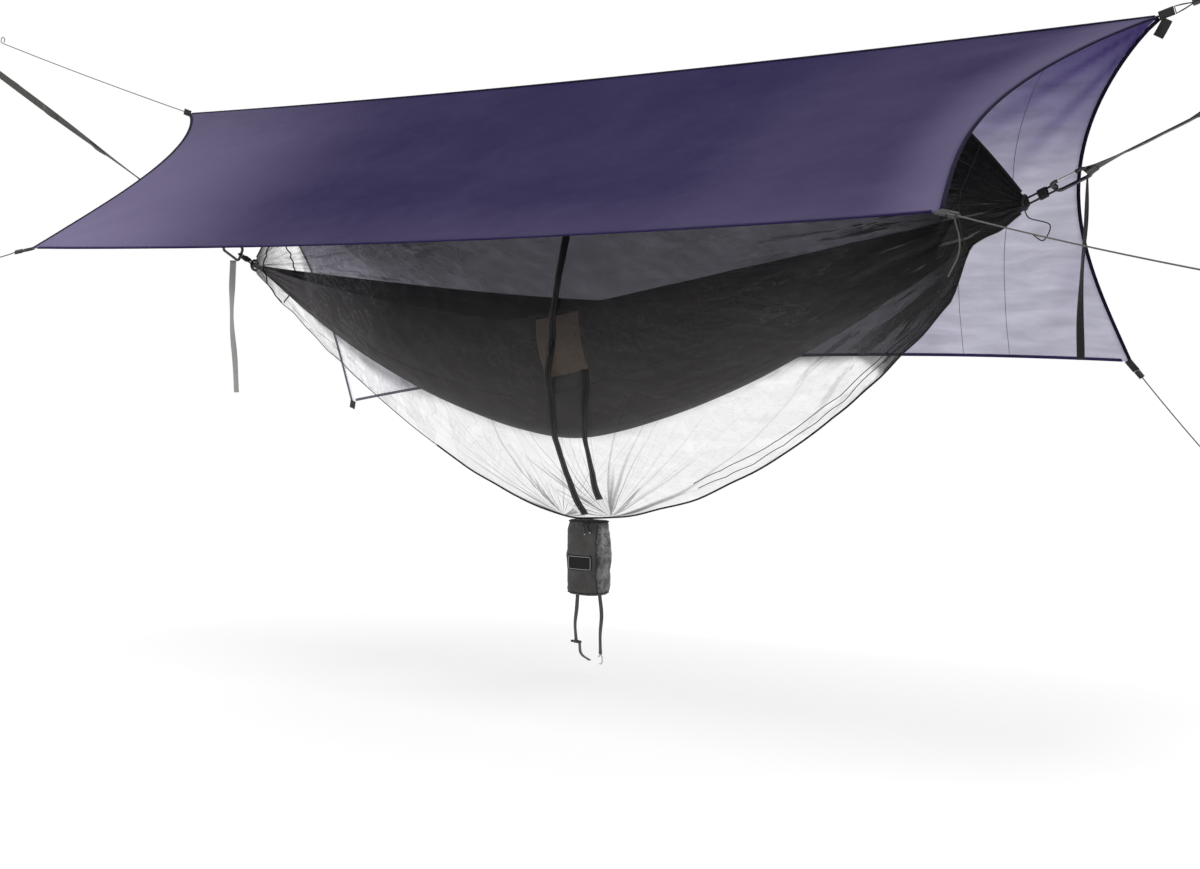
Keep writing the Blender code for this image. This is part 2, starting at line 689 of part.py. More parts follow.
def make_strap(side, tip, run):
    """Webbing folded round the carabiner's outer bar, along to the eye at its far end."""
    along, upward, across, bar = plane_of(tip, run)
    outer_bar = bar + along * CARABINER_LENGTH
    bend = CARABINER_ROD + SEAT_GAP + STRAP_THICKNESS / 2
    lap = STRAP_THICKNESS / 2 + SEAT_GAP / 2 + CLOTH_GAP / 4
    reach = run.length - LOOP_LENGTH - CARABINER_LENGTH
    neck = reach - TREE_EYE_NECK - TREE_EYE_RADIUS

    def spot(x, y):
        return outer_bar + along * x + across * y

    path = [spot(STRAP_SEWN_LENGTH, -lap), spot(STRAP_SEWN_LENGTH / 2, -(lap + bend) / 2)]
    for step in range(9):
        angle = -pi / 2 - pi * step / 8
        path.append(spot(bend * cos(angle), bend * sin(angle)))
    path.append(spot(STRAP_SEWN_LENGTH / 2, (lap + bend) / 2))
    path.append(spot(STRAP_SEWN_LENGTH, lap))
    if neck > STRAP_SEWN_LENGTH * 3:
        for step in range(1, 7):
            path.append(spot(STRAP_SEWN_LENGTH + (neck - STRAP_SEWN_LENGTH) * step / 7, lap))
    path.append(spot(neck, lap))
    path.append(spot(neck + TREE_EYE_NECK / 2, (lap + TREE_EYE_RADIUS) / 2))
    hub = neck + TREE_EYE_NECK
    for step in range(9):
        angle = pi / 2 - pi * step / 8
        path.append(spot(hub + TREE_EYE_RADIUS * cos(angle), TREE_EYE_RADIUS * sin(angle)))
    path.append(spot(neck + TREE_EYE_NECK / 2, -(lap + TREE_EYE_RADIUS) / 2))
    path.append(spot(neck, -lap))
    path.append(spot(neck - STRAP_SEWN_LENGTH / 2, -lap))
    ribbon(f"strap_{side}", path, upward, STRAP_WIDTH, STRAP_THICKNESS, "strap_grey")


def make_strap_tail(side, tip, run, length):
    """The loose end of the webbing: under the carabiner on the left, under the strap's fold on the right."""
    along, _, _, bar = plane_of(tip, run)
    out = 1 if run.x > 0 else -1
    place = RIGHT_TAIL_PLACE if out > 0 else LEFT_TAIL_PLACE
    clear = (CARABINER_WIDTH / 2 + CARABINER_ROD + TAIL_WIDTH / 2 * abs(along.z)) / abs(along.x) + SEAT_GAP
    if out > 0:
        clear = CARABINER_ROD + SEAT_GAP + STRAP_THICKNESS + SEAT_GAP
    top = bar + along * (CARABINER_LENGTH - place) - UP * clear
    route = [top, top + Vector((0.0, -TAIL_DRIFT / 2, -length / 4)),
             top + Vector((-out * TAIL_DRIFT / 2, -TAIL_DRIFT, -length / 2)),
             top + Vector((-out * TAIL_DRIFT, -TAIL_DRIFT / 2, -length * 3 / 4)),
             top + Vector((-out * TAIL_DRIFT, 0.0, -length))]
    slot = "strap_grey" if side == "left" else "webbing"
    ribbon(f"strap_tail_{side}", smooth(route, 4), Vector((1.0, 0.0, 0.0)), TAIL_WIDTH,
           TAIL_THICKNESS, slot)


# Insect net
CUFF_RADIUS = CARABINER_ROD + LOOP_PLAY + 2 * LOOP_CORD + CUFF_PLAY + CUFF_RING
NET_HALF = HANG_HALF_SPAN - NET_END_INSET
NET_END_RADIUS = CUFF_RADIUS + CUFF_RING / 2


def net_section(x):
    """Top and bottom heights and the narrowing of the net at one station."""
    s = closeness(x)
    base = hang_height(x)
    slope = min((HANG_HALF_SPAN - abs(x)) / NET_SLOPE_LENGTH, 1.0)
    rise = 1 - (1 - slope) ** NET_SLOPE_CURVE_SHARE
    top = base + NET_END_RADIUS + (NET_TOP - NET_END_RADIUS) * rise
    drop = 1 - s ** (NET_LEFT_BOTTOM_CURVE_SHARE if x < 0 else NET_RIGHT_BOTTOM_CURVE_SHARE)
    bottom = base - NET_END_RADIUS - (NET_BOTTOM - NET_END_RADIUS) * drop
    return top, bottom, 1 - s * s


def net_point(x, v, side, out=0.0):
    """A point of the net: v from its ridge to its bottom seam, side -1 near and 1 far."""
    top, bottom, narrow = net_section(x)
    full = NET_NEAR_HALF_WIDTH if side < 0 else NET_FAR_HALF_WIDTH
    width = sqrt((full * narrow) ** 2 + NET_END_RADIUS ** 2)
    bulge = max(sin(pi * min(v, 1.0) ** NET_BULGE_SHARE), 0.0)
    first, last = FOLD_SHARES
    window = sin(pi * min(max((closeness(x) - first) / (last - first), 0.0), 1.0))
    fold = NET_FOLD_DEPTH * window * bulge * sin(2 * pi * NET_FOLDS * closeness(x))
    y = NET_SEAM_HALF_GAP + width * bulge + fold
    return Vector((x, side * (y + out), top + (bottom - top) * v))


def near_net_face(x, v):
    """A point on the flat facets of the near side of the net, with ways down and out of it."""
    columns, rows = NET_CELLS
    column = min(int((asin(x / NET_HALF) / pi + 0.5) * columns), columns - 1)
    row = min(int(v * rows + SHARE_ROUNDING), rows - 1)
    first = spread(column / columns, NET_HALF)
    last = spread((column + 1) / columns, NET_HALF)
    t = (x - first) / (last - first)
    high = net_point(first, row / rows, -1).lerp(net_point(last, row / rows, -1), t)
    low = net_point(first, (row + 1) / rows, -1).lerp(net_point(last, (row + 1) / rows, -1), t)
    down = (low - high).normalized()
    out = Vector((1.0, 0.0, 0.0)).cross(down)
    if out.y > 0:
        out = -out
    return high.lerp(low, v * rows - row), down, out.normalized()


def zip_place(v):
    """Where along X the zip runs at a height of the net."""
    return ZIP_BOW * sin(pi * v ** ZIP_BOW_SHARE) + ZIP_LEAN * v


def flap_place(v):
    t = max(v - FLAP_SHARES[0], 0.0) / (FLAP_SHARES[1] - FLAP_SHARES[0])
    return FLAP_TOP_PLACE + (FLAP_BOTTOM_PLACE - FLAP_TOP_PLACE) * t ** FLAP_BOW_SHARE


def make_net(rocking):
    for name, side in (("near", -1), ("far", 1)):

        def place(u, v, side=side):
            return net_point(spread(u, NET_HALF), v, side)

        sheet(f"net_{name}_side", NET_CELLS, place, NET_THICKNESS, "net_mesh", rocking)

    for name, edge, way, lap in (("ridge", 0, 1, 0.0), ("bottom", 1, -1, NET_THICKNESS / 2)):
        line = []
        for column in range(NET_CELLS[0] + 1):
            x = spread(column / NET_CELLS[0], NET_HALF)
            line.append(Vector((x, 0.0, net_section(x)[edge])))
        path = []
        for before, middle, after in zip([line[0], *line], line, [*line[1:], line[-1]]):
            outward = ACROSS.cross(after - before).normalized() * -way
            path.append(middle + outward * (NET_HEM_CORD + lap + SEAT_GAP))
        cord(f"net_{name}_hem", path[1:-1], NET_HEM_CORD, "black_cord", rocking)
    for side, tip, run in SIDES:
        hub = tip + run.normalized() * (CUFF_RING + SEAT_GAP)
        ring = []
        for step in range(16):
            angle = 2 * pi * step / 16
            ring.append(hub + ACROSS * (CUFF_RADIUS * cos(angle)) + UP * (CUFF_RADIUS * sin(angle)))
        cord(f"net_cuff_{side}", ring, CUFF_RING, "black_cord", rocking, closed=True)
        if side == "right":
            low = hub - UP * (CUFF_RADIUS + CUFF_RING + SEAT_GAP)
            route = [low, low + Vector((DRAWCORD_SPREAD / 5, 0.0, -DRAWCORD_DROP / 4)),
                     low + Vector((DRAWCORD_SPREAD, 0.0, -DRAWCORD_DROP / 2)),
                     low + Vector((DRAWCORD_SPREAD * 3 / 4, 0.0, -DRAWCORD_DROP)),
                     low + Vector((DRAWCORD_SPREAD / 3, 0.0, -DRAWCORD_DROP * 4 / 5))]
            cord("net_drawcord", smooth(route, 5), DRAWCORD_RADIUS, "black_cord", rocking)


def zip_sheet(name, shares, place_rule, cells, rocking):
    def place(u, v):
        level = shares[0] + (shares[1] - shares[0]) * u
        x = place_rule(level) + (v - 0.5) * ZIP_WIDTH
        point, down, out = near_net_face(x, level)
        lift = (NET_THICKNESS + ZIP_THICKNESS) / 2 + CLOTH_GAP * 2
        return point + out * lift

    return sheet(name, (cells, 2), place, ZIP_THICKNESS, "zip_tape", rocking)


def make_zip(rocking):
    cell = ZIP_SHARES[0]
    zip_sheet("zip_tape", ZIP_SHARES, zip_place, round((ZIP_SHARES[1] - ZIP_SHARES[0]) / cell), rocking)
    zip_sheet("zip_flap", FLAP_SHARES, flap_place, round((FLAP_SHARES[1] - FLAP_SHARES[0]) / cell),
              rocking)
    x = zip_place(SLIDER_SHARE)
    face, down, out = near_net_face(x, SLIDER_SHARE - cell / 2)
    lift = NET_THICKNESS / 2 + CLOTH_GAP * 3 + ZIP_THICKNESS + SLIDER_THICKNESS / 2
    middle = face + out * lift
    slider_axis = pivot("slider_axis", middle, rocking)
    block("zip_slider", frame_at(middle, down, out), (SLIDER_LENGTH, SLIDER_THICKNESS, SLIDER_WIDTH),
          "alloy", SLIDER_THICKNESS / 4, slider_axis)
    hinge = middle + out * (SLIDER_THICKNESS / 2 + SEAT_GAP + PULL_THICKNESS / 2)
    pull_axis = pivot("pull_axis", hinge, slider_axis)
    pull_middle = hinge + down * (PULL_LENGTH / 2 - PULL_THICKNESS / 2)
    block("zip_pull", frame_at(pull_middle, down, out), (PULL_LENGTH, PULL_THICKNESS, PULL_WIDTH),
          "black_plastic", PULL_THICKNESS / 4, pull_axis)


# Stuff sack
def make_sack(rocking):
    seam, _, _ = near_net_face(SACK_PLACE, 1.0)
    hem_low = seam.z - 2 * NET_HEM_CORD - NET_THICKNESS / 2 - SEAT_GAP
    knot = Vector((SACK_PLACE, 0.0, hem_low - SACK_KNOT_RADIUS - SEAT_GAP))
    mesh = bpy.data.meshes.new("sack_knot")
    shape = bmesh.new()
    bmesh.ops.create_uvsphere(shape, u_segments=14, v_segments=8, radius=SACK_KNOT_RADIUS)
    shape.to_mesh(mesh)
    shape.free()
    finish("sack_knot", mesh, "black_cord", rocking, Matrix.Translation(knot))
    swing = pivot("sack_axis", knot, rocking)
    crown = knot - UP * (SACK_KNOT_RADIUS + SEAT_GAP)
    body_width = SACK_WIDTH - SACK_SIDE_THICKNESS - SEAT_GAP
    left = SACK_PLACE - SACK_WIDTH / 2

    def sack_wall(name, x, width, slot):
        mesh = bpy.data.meshes.new(name)
        shape = bmesh.new()
        bmesh.ops.create_cube(shape, size=1.0)
        bmesh.ops.subdivide_edges(shape, edges=shape.edges, cuts=5, use_grid_fill=True)
        for corner in shape.verts:
            a, b, c = corner.co.x * 2, corner.co.y * 2, corner.co.z + 0.5
            swell = 1 - SACK_TAPER_SHARE * abs(2 * c - 0.9) ** 3
            y = b * SACK_DEPTH / 2 * swell * (1 - SACK_TAPER_SHARE * abs(a) ** 3 * (width > SACK_WIDTH / 2))
            corner.co = Vector((x + a * width / 2, y, crown.z - SACK_HEIGHT * (1 - c)))
        shape.to_mesh(mesh)
        shape.free()
        return finish(name, mesh, slot, swing)

    sack_wall("sack_body", left + body_width / 2, body_width, "sack_fabric")
    sack_wall("sack_side_mesh", left + SACK_WIDTH - SACK_SIDE_THICKNESS / 2, SACK_SIDE_THICKNESS,
              "sack_side_mesh")
    make_sack_tails(left, crown.z - SACK_HEIGHT, swing)


def make_sack_tails(left, low, swing):
    right = left + SACK_WIDTH
    way = Vector((1.0, 0.0, 0.0))
    short_top = Vector((left + SACK_TAIL_INSET, 0.0, low - SEAT_GAP))
    long_top = Vector((right - SACK_TAIL_INSET, 0.0, low - SEAT_GAP))
    sway = SACK_TAIL_WIDTH / 2
    short_low = short_top + Vector((-sway, 0.0, -SACK_TAIL_SHORT))
    long_low = long_top + Vector((sway / 2, 0.0, -SACK_TAIL_LONG))
    short_route = [short_top, short_top.lerp(short_low, 1 / 3) - way * (sway / 3),
                   short_top.lerp(short_low, 2 / 3) - way * sway, short_low]
    long_route = [long_top, long_top.lerp(long_low, 1 / 3) + way * sway,
                  long_top.lerp(long_low, 2 / 3), long_low]
    ribbon("sack_tail_short", smooth(short_route, 4), way, SACK_TAIL_WIDTH, SACK_TAIL_THICKNESS,
           "webbing", swing)
    ribbon("sack_tail_long", smooth(long_route, 4), way, SACK_TAIL_WIDTH, SACK_TAIL_THICKNESS,
           "webbing", swing)
    bar = short_low - UP * (TOGGLE_RADIUS + SEAT_GAP)
    toggle_axis = pivot("toggle_axis", bar, swing)
    cord("tail_toggle", [bar - way * (TOGGLE_LENGTH / 2), bar, bar + way * (TOGGLE_LENGTH / 2)],
         TOGGLE_RADIUS, "black_plastic", toggle_axis)
    end_top = bar + way * (TOGGLE_LENGTH / 2 - SACK_TAIL_WIDTH / 2) - UP * (TOGGLE_RADIUS + SEAT_GAP)
    end_route = [end_top, end_top + Vector((0.1, 0.0, -0.5)) * TOGGLE_STRAP_LENGTH,
                 end_top + Vector((0.4, 0.0, -0.9)) * TOGGLE_STRAP_LENGTH]
    ribbon("toggle_strap", smooth(end_route, 4), ACROSS, SACK_TAIL_WIDTH, SACK_TAIL_THICKNESS,
           "webbing", toggle_axis)
    eye = long_low - UP * (CLIP_ROD + SEAT_GAP)
    half = CLIP_WIDTH / 2 - CLIP_ROD
    clip_axis = pivot("clip_axis", eye - UP * half, swing)
    path = []
    for step in range(7):
        angle = pi - pi * step / 6
        path.append(eye + Vector((half * cos(angle), 0.0, half * (sin(angle) - 1))))
    for step in range(6):
        angle = -pi * EYE_TURN_SHARE * step / 6
        path.append(eye + Vector((half * cos(angle), 0.0, half * (1 + sin(angle)) - CLIP_LENGTH + half)))
    cord("tail_clip", path, CLIP_ROD, "alloy", clip_axis)


make_tarp()
make_tie_points()
bars = [bar_centre(tip, run) for _, tip, run in SIDES]
rocking_axis = pivot("rocking_axis", bars[0].lerp(bars[1], MIDDLE_SHARE))
make_hammock(rocking_axis)
for strap_side, strap_tip, strap_run in SIDES:
    make_loop(strap_side, strap_tip, strap_run, rocking_axis)
    make_carabiner(strap_side, strap_tip, strap_run)
    make_strap(strap_side, strap_tip, strap_run)
make_strap_tail("left", SIDES[0][1], SIDES[0][2], LEFT_TAIL_LENGTH)
make_strap_tail("right", SIDES[1][1], SIDES[1][2], RIGHT_TAIL_LENGTH)
make_net(rocking_axis)
make_zip(rocking_axis)
make_sack(rocking_axis)
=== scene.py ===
import bpy
import bmesh
import json
from math import atan2, cos, exp, hypot, pi, radians, sin, sqrt
from mathutils import Matrix, Vector, noise
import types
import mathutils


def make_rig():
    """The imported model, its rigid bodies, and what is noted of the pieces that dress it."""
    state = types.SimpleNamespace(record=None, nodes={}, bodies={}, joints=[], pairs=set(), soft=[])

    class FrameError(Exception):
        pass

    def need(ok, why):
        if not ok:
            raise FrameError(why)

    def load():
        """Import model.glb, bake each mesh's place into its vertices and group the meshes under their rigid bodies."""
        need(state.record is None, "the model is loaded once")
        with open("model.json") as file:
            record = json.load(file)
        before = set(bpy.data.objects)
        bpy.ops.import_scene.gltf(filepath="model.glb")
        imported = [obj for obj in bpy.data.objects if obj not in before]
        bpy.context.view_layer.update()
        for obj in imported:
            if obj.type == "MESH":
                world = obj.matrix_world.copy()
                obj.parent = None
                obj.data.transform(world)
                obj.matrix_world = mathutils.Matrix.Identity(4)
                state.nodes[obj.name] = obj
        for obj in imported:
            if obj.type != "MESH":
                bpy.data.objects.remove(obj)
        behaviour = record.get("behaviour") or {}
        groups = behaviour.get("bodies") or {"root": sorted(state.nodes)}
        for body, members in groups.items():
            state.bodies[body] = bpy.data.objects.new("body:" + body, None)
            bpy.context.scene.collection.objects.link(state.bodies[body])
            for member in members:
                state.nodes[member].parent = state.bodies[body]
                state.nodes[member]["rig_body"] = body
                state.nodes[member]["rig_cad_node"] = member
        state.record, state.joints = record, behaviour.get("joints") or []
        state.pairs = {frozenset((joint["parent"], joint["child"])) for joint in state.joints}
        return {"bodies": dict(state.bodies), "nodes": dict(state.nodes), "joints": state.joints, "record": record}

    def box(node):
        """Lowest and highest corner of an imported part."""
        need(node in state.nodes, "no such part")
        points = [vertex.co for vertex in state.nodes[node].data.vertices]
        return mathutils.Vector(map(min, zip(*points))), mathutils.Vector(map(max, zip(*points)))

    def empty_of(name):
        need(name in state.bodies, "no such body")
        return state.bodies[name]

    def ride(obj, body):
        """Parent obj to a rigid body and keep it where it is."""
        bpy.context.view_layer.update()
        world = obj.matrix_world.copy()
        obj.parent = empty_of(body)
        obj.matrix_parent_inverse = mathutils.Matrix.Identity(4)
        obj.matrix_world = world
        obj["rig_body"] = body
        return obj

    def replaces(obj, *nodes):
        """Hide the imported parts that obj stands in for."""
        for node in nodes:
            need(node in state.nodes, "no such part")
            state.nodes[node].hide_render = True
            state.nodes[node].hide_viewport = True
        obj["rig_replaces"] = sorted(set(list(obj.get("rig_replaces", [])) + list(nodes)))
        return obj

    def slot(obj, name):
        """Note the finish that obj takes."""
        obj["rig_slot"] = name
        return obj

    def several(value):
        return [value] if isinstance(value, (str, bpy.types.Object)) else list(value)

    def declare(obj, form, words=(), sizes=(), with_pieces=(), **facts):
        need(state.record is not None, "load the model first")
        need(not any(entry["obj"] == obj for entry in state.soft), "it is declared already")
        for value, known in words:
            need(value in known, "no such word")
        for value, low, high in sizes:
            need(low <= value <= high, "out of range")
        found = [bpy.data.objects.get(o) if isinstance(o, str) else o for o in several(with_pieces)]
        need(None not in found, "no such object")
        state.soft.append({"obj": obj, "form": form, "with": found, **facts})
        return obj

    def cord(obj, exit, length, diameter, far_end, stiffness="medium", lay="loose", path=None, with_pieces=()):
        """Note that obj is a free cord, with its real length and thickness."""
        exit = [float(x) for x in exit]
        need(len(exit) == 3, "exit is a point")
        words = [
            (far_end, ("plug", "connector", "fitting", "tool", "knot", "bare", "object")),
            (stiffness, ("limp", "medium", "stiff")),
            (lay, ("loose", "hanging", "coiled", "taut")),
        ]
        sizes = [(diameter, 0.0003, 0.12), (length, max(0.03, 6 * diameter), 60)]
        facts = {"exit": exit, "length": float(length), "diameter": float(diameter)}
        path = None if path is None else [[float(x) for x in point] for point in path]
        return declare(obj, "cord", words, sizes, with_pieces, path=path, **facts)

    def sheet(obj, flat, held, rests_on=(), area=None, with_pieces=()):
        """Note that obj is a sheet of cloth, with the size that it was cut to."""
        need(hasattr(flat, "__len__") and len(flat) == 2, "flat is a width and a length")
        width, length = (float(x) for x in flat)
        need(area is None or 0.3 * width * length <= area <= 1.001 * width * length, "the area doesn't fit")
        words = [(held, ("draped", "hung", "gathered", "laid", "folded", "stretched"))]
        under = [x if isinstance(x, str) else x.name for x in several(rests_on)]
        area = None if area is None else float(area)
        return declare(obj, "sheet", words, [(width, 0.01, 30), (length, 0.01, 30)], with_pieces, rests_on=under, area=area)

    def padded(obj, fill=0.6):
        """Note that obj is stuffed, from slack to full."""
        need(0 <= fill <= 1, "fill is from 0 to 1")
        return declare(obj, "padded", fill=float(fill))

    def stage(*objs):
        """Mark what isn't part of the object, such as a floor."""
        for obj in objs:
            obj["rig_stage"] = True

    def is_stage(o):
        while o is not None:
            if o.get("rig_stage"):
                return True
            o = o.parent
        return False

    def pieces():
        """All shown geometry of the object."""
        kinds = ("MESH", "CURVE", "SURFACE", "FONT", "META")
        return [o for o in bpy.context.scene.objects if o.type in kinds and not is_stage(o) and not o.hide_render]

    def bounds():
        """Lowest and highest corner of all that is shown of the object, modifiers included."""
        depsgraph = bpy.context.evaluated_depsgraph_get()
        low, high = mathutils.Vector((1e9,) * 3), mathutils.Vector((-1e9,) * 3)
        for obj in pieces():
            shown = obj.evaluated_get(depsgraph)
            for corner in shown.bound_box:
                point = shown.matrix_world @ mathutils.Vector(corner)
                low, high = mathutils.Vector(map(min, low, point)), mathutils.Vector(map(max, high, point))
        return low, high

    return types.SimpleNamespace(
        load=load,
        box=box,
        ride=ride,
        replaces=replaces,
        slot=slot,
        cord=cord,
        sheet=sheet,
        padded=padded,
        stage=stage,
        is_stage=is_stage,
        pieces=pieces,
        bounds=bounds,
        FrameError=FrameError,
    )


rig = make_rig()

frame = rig.load()
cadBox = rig.bounds()
up = Vector((0, 0, 1))
across = Vector((0, 1, 0))
alongX = Vector((1, 0, 0))
fixed, swung = "tarp_and_suspension", "hammock_and_net"  # the two large bodies

# camera and stage

cameraView = {"place": (2.717, -3.6955, -0.4185), "right": (0.81388, 0.58104, 0.0), "up": (-0.0154, 0.02157, 0.99965),
              "back": (0.58083, -0.81359, 0.0265), "lens": 49.5, "sensor": 36.0}
studio = {"floorZ": -1.2, "floorSize": 60.0, "floorColour": (0.86, 0.86, 0.86), "fade": 0.42, "lift": 1.385,
          "world": 0.55, "middle": (0.35, 0, 0), "shadowReach": 1.0, "whiteFrom": 4.2}
lamps = {
    "backSoftbox": {"place": (0.6, 3.6, 0.7), "aim": (0, 0, -0.1), "size": 3.6, "power": 110},
    "topSoftbox": {"place": (0.3, -2.0, 4.2), "aim": (0, 0, 0), "size": 2.2, "power": 90},
    "frontSoftbox": {"place": (-1.6, -3.8, 1.4), "aim": (0, 0, -0.1), "size": 2.6, "power": 14},
}


def setCamera():
    data = bpy.data.cameras.new("photoCamera")
    data.lens = cameraView["lens"]
    data.sensor_width = cameraView["sensor"]
    cam = bpy.data.objects.new("photoCamera", data)
    bpy.context.scene.collection.objects.link(cam)
    turned = Matrix((cameraView["right"], cameraView["up"], cameraView["back"])).transposed().to_4x4()
    cam.matrix_world = Matrix.Translation(cameraView["place"]) @ turned
    bpy.context.scene.camera = cam
    bpy.context.scene.view_settings.view_transform = "Standard"


def nodeTree(owner):
    owner.use_nodes = True
    owner.node_tree.nodes.clear()
    return owner.node_tree


def addNode(tree, kind, values=None, links=None, **settings):
    node = tree.nodes.new("ShaderNode" + kind)
    for key, value in settings.items():
        setattr(node, key, value)
    for key, value in (values or {}).items():
        node.inputs[key].default_value = value
    for key, source in (links or {}).items():
        tree.links.new(source, node.inputs[key])
    return node


def feed(tree, node, index, value):
    # a socket is linked, a constant is set
    if isinstance(value, bpy.types.NodeSocket):
        tree.links.new(value, node.inputs[index])
    else:
        node.inputs[index].default_value = value


def calc(tree, kind, *terms, clamp=False):
    node = addNode(tree, "Math", operation=kind, use_clamp=clamp)
    for index, term in enumerate(terms):
        feed(tree, node, index, term)
    return node.outputs[0]


def scaled(tree, vector, factor):
    node = addNode(tree, "VectorMath", links={0: vector}, operation="MULTIPLY")
    feed(tree, node, 1, factor)
    return node.outputs[0]


def ranged(tree, value, low=0.0, high=1.0, start=0.0, end=1.0):
    return addNode(tree, "MapRange", {"From Min": start, "From Max": end, "To Min": low, "To Max": high},
                   {"Value": value}).outputs[0]


def addMix(tree, factor, first, second):
    node = addNode(tree, "Mix", links={0: factor}, data_type="RGBA")
    for index, value in ((6, first), (7, second)):
        feed(tree, node, index, (*value, 1) if isinstance(value, tuple) else value)
    return node.outputs[2]


def texture(tree, kind, vector, way=None, **values):
    settings = {"bands_direction": way} if way else {}
    return addNode(tree, "Tex" + kind, values, {"Vector": vector}, **settings)


def fromAttribute(tree, name):
    return addNode(tree, "Attribute", attribute_name=name).outputs["Fac"]


def seenRays(tree):
    # 1 for what the camera sees, also in metal and through clear things
    path = addNode(tree, "LightPath").outputs
    return calc(tree, "MAXIMUM", calc(tree, "MAXIMUM", path["Is Camera Ray"], path["Is Glossy Ray"]),
                path["Is Transmission Ray"])


def setWorld():
    world = bpy.data.worlds.new("studioWorld")
    bpy.context.scene.world = world
    tree = nodeTree(world)
    light = addNode(tree, "Background", {"Color": (1, 1, 1, 1)},
                    {"Strength": ranged(tree, seenRays(tree), studio["world"])})
    addNode(tree, "OutputWorld", links={"Surface": light.outputs[0]})


def setFloor():
    # white to the eye and to mirrors away from the object, a matt floor that takes the shadow below it
    bpy.ops.mesh.primitive_plane_add(size=studio["floorSize"], location=(0, 0, studio["floorZ"]))
    floor = bpy.context.object
    floor.name = "studioFloor"
    paint = bpy.data.materials.new("studioFloor")
    tree = nodeTree(paint)
    spot = addNode(tree, "TexCoord").outputs["Object"]
    away = addNode(tree, "VectorMath", {1: studio["middle"]}, {0: spot}, operation="DISTANCE").outputs["Value"]
    span = (studio["shadowReach"], studio["whiteFrom"])
    share = calc(tree, "MULTIPLY", ranged(tree, away, studio["fade"], 1.0, *span), seenRays(tree))
    matt = addNode(tree, "BsdfDiffuse", {"Color": (*studio["floorColour"], 1)})
    glow = addNode(tree, "Emission", {"Color": (1, 1, 1, 1)},
                   {"Strength": ranged(tree, away, studio["lift"], 1.0, *span)})
    both = addNode(tree, "MixShader", links={"Fac": share, 1: matt.outputs[0], 2: glow.outputs[0]})
    addNode(tree, "OutputMaterial", links={"Surface": both.outputs[0]})
    floor.data.materials.append(paint)
    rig.stage(floor)


def setLamps():
    for name, box in lamps.items():
        bpy.ops.object.light_add(type="AREA", location=box["place"])
        lamp = bpy.context.object
        lamp.name = name
        lamp.data.size = box["size"]
        lamp.data.energy = box["power"]
        lamp.rotation_euler = (Vector(box["aim"]) - Vector(box["place"])).to_track_quat("-Z", "Y").to_euler()


setCamera()
setWorld()
setFloor()
setLamps()
print("camera and stage set")

# materials

tarpCloth = {"weave": 620, "rough": 0.55, "bump": 0.25, "sheen": 0.0, "shine": 0.04, "mottle": 3.0}
bindingCloth = {"weave": 300, "rough": 0.8, "bump": 0.5, "sheen": 0.0, "shine": 0.08, "mottle": 12.0}
clothLooks = {
    # painted light and shade: one cloth as two materials, the far panel lighter and letting far more light through than
    # the near one
    "tarpNear": {**tarpCloth, "colour": (0.022, 0.014, 0.070), "worn": (0.036, 0.027, 0.092),
                 "pale": (0.24, 0.205, 0.35), "through": 0.10, "throughColour": (0.16, 0.12, 0.30)},
    "tarpFar": {**tarpCloth, "colour": (0.20, 0.15, 0.44), "worn": (0.26, 0.20, 0.52), "pale": (0.07, 0.06, 0.12),
                "through": 0.85, "throughColour": (0.165, 0.14, 0.275), "throughPale": (0.605, 0.60, 0.65),
                "bleached": (0.97, 0.97, 0.98)},
    "hammock": {"colour": (0.062, 0.055, 0.061), "worn": (0.094, 0.084, 0.092), "weave": 560, "rough": 0.6,
                "bump": 0.3, "sheen": 0.05, "shine": 0.15, "mottle": 4.0},
    "pocket": {"colour": (0.38, 0.28, 0.20), "worn": (0.46, 0.35, 0.26), "weave": 480, "rough": 0.65, "bump": 0.35,
               "sheen": 0.1, "shine": 0.2, "mottle": 9.0},
    "sack": {"colour": (0.050, 0.047, 0.045), "worn": (0.105, 0.100, 0.097), "weave": 420, "rough": 0.5, "bump": 0.5,
             "sheen": 0.15, "shine": 0.35, "mottle": 18.0},
    # painted light and shade: the wide mottle is partly the mesh's own tone, partly painted highlights and shade of its
    # wrinkles
    "sackSide": {"colour": (0.035, 0.035, 0.035), "worn": (0.24, 0.24, 0.24), "weave": 300, "rough": 0.42,
                 "bump": 0.9, "sheen": 0.2, "shine": 0.6, "mottle": 46.0, "low": 0.44, "high": 0.62},
    "binding": {**bindingCloth, "colour": (0.010, 0.0075, 0.024), "worn": (0.018, 0.014, 0.036)},
    "paleBinding": {**bindingCloth, "colour": (0.20, 0.195, 0.25), "worn": (0.30, 0.295, 0.35)},
    "patch": {"colour": (0.016, 0.016, 0.017), "worn": (0.026, 0.026, 0.027), "weave": 520, "rough": 0.7, "bump": 0.3,
              "sheen": 0.05, "shine": 0.2, "mottle": 30.0},
}
webbingLooks = {
    "strapGrey": {"colour": (0.085, 0.085, 0.076), "edge": (0.24, 0.24, 0.215), "rough": 0.85},
    "tailGrey": {"colour": (0.62, 0.62, 0.59), "edge": (0.42, 0.42, 0.40), "rough": 0.85},
    "sackWebbing": {"colour": (0.13, 0.128, 0.124), "edge": (0.21, 0.207, 0.20), "rough": 0.85},
    "webbingBlack": {"colour": (0.018, 0.017, 0.018), "edge": (0.09, 0.085, 0.085), "rough": 0.75},
    "zipTape": {"colour": (0.011, 0.0105, 0.011), "edge": (0.03, 0.029, 0.03), "rough": 0.75},
}
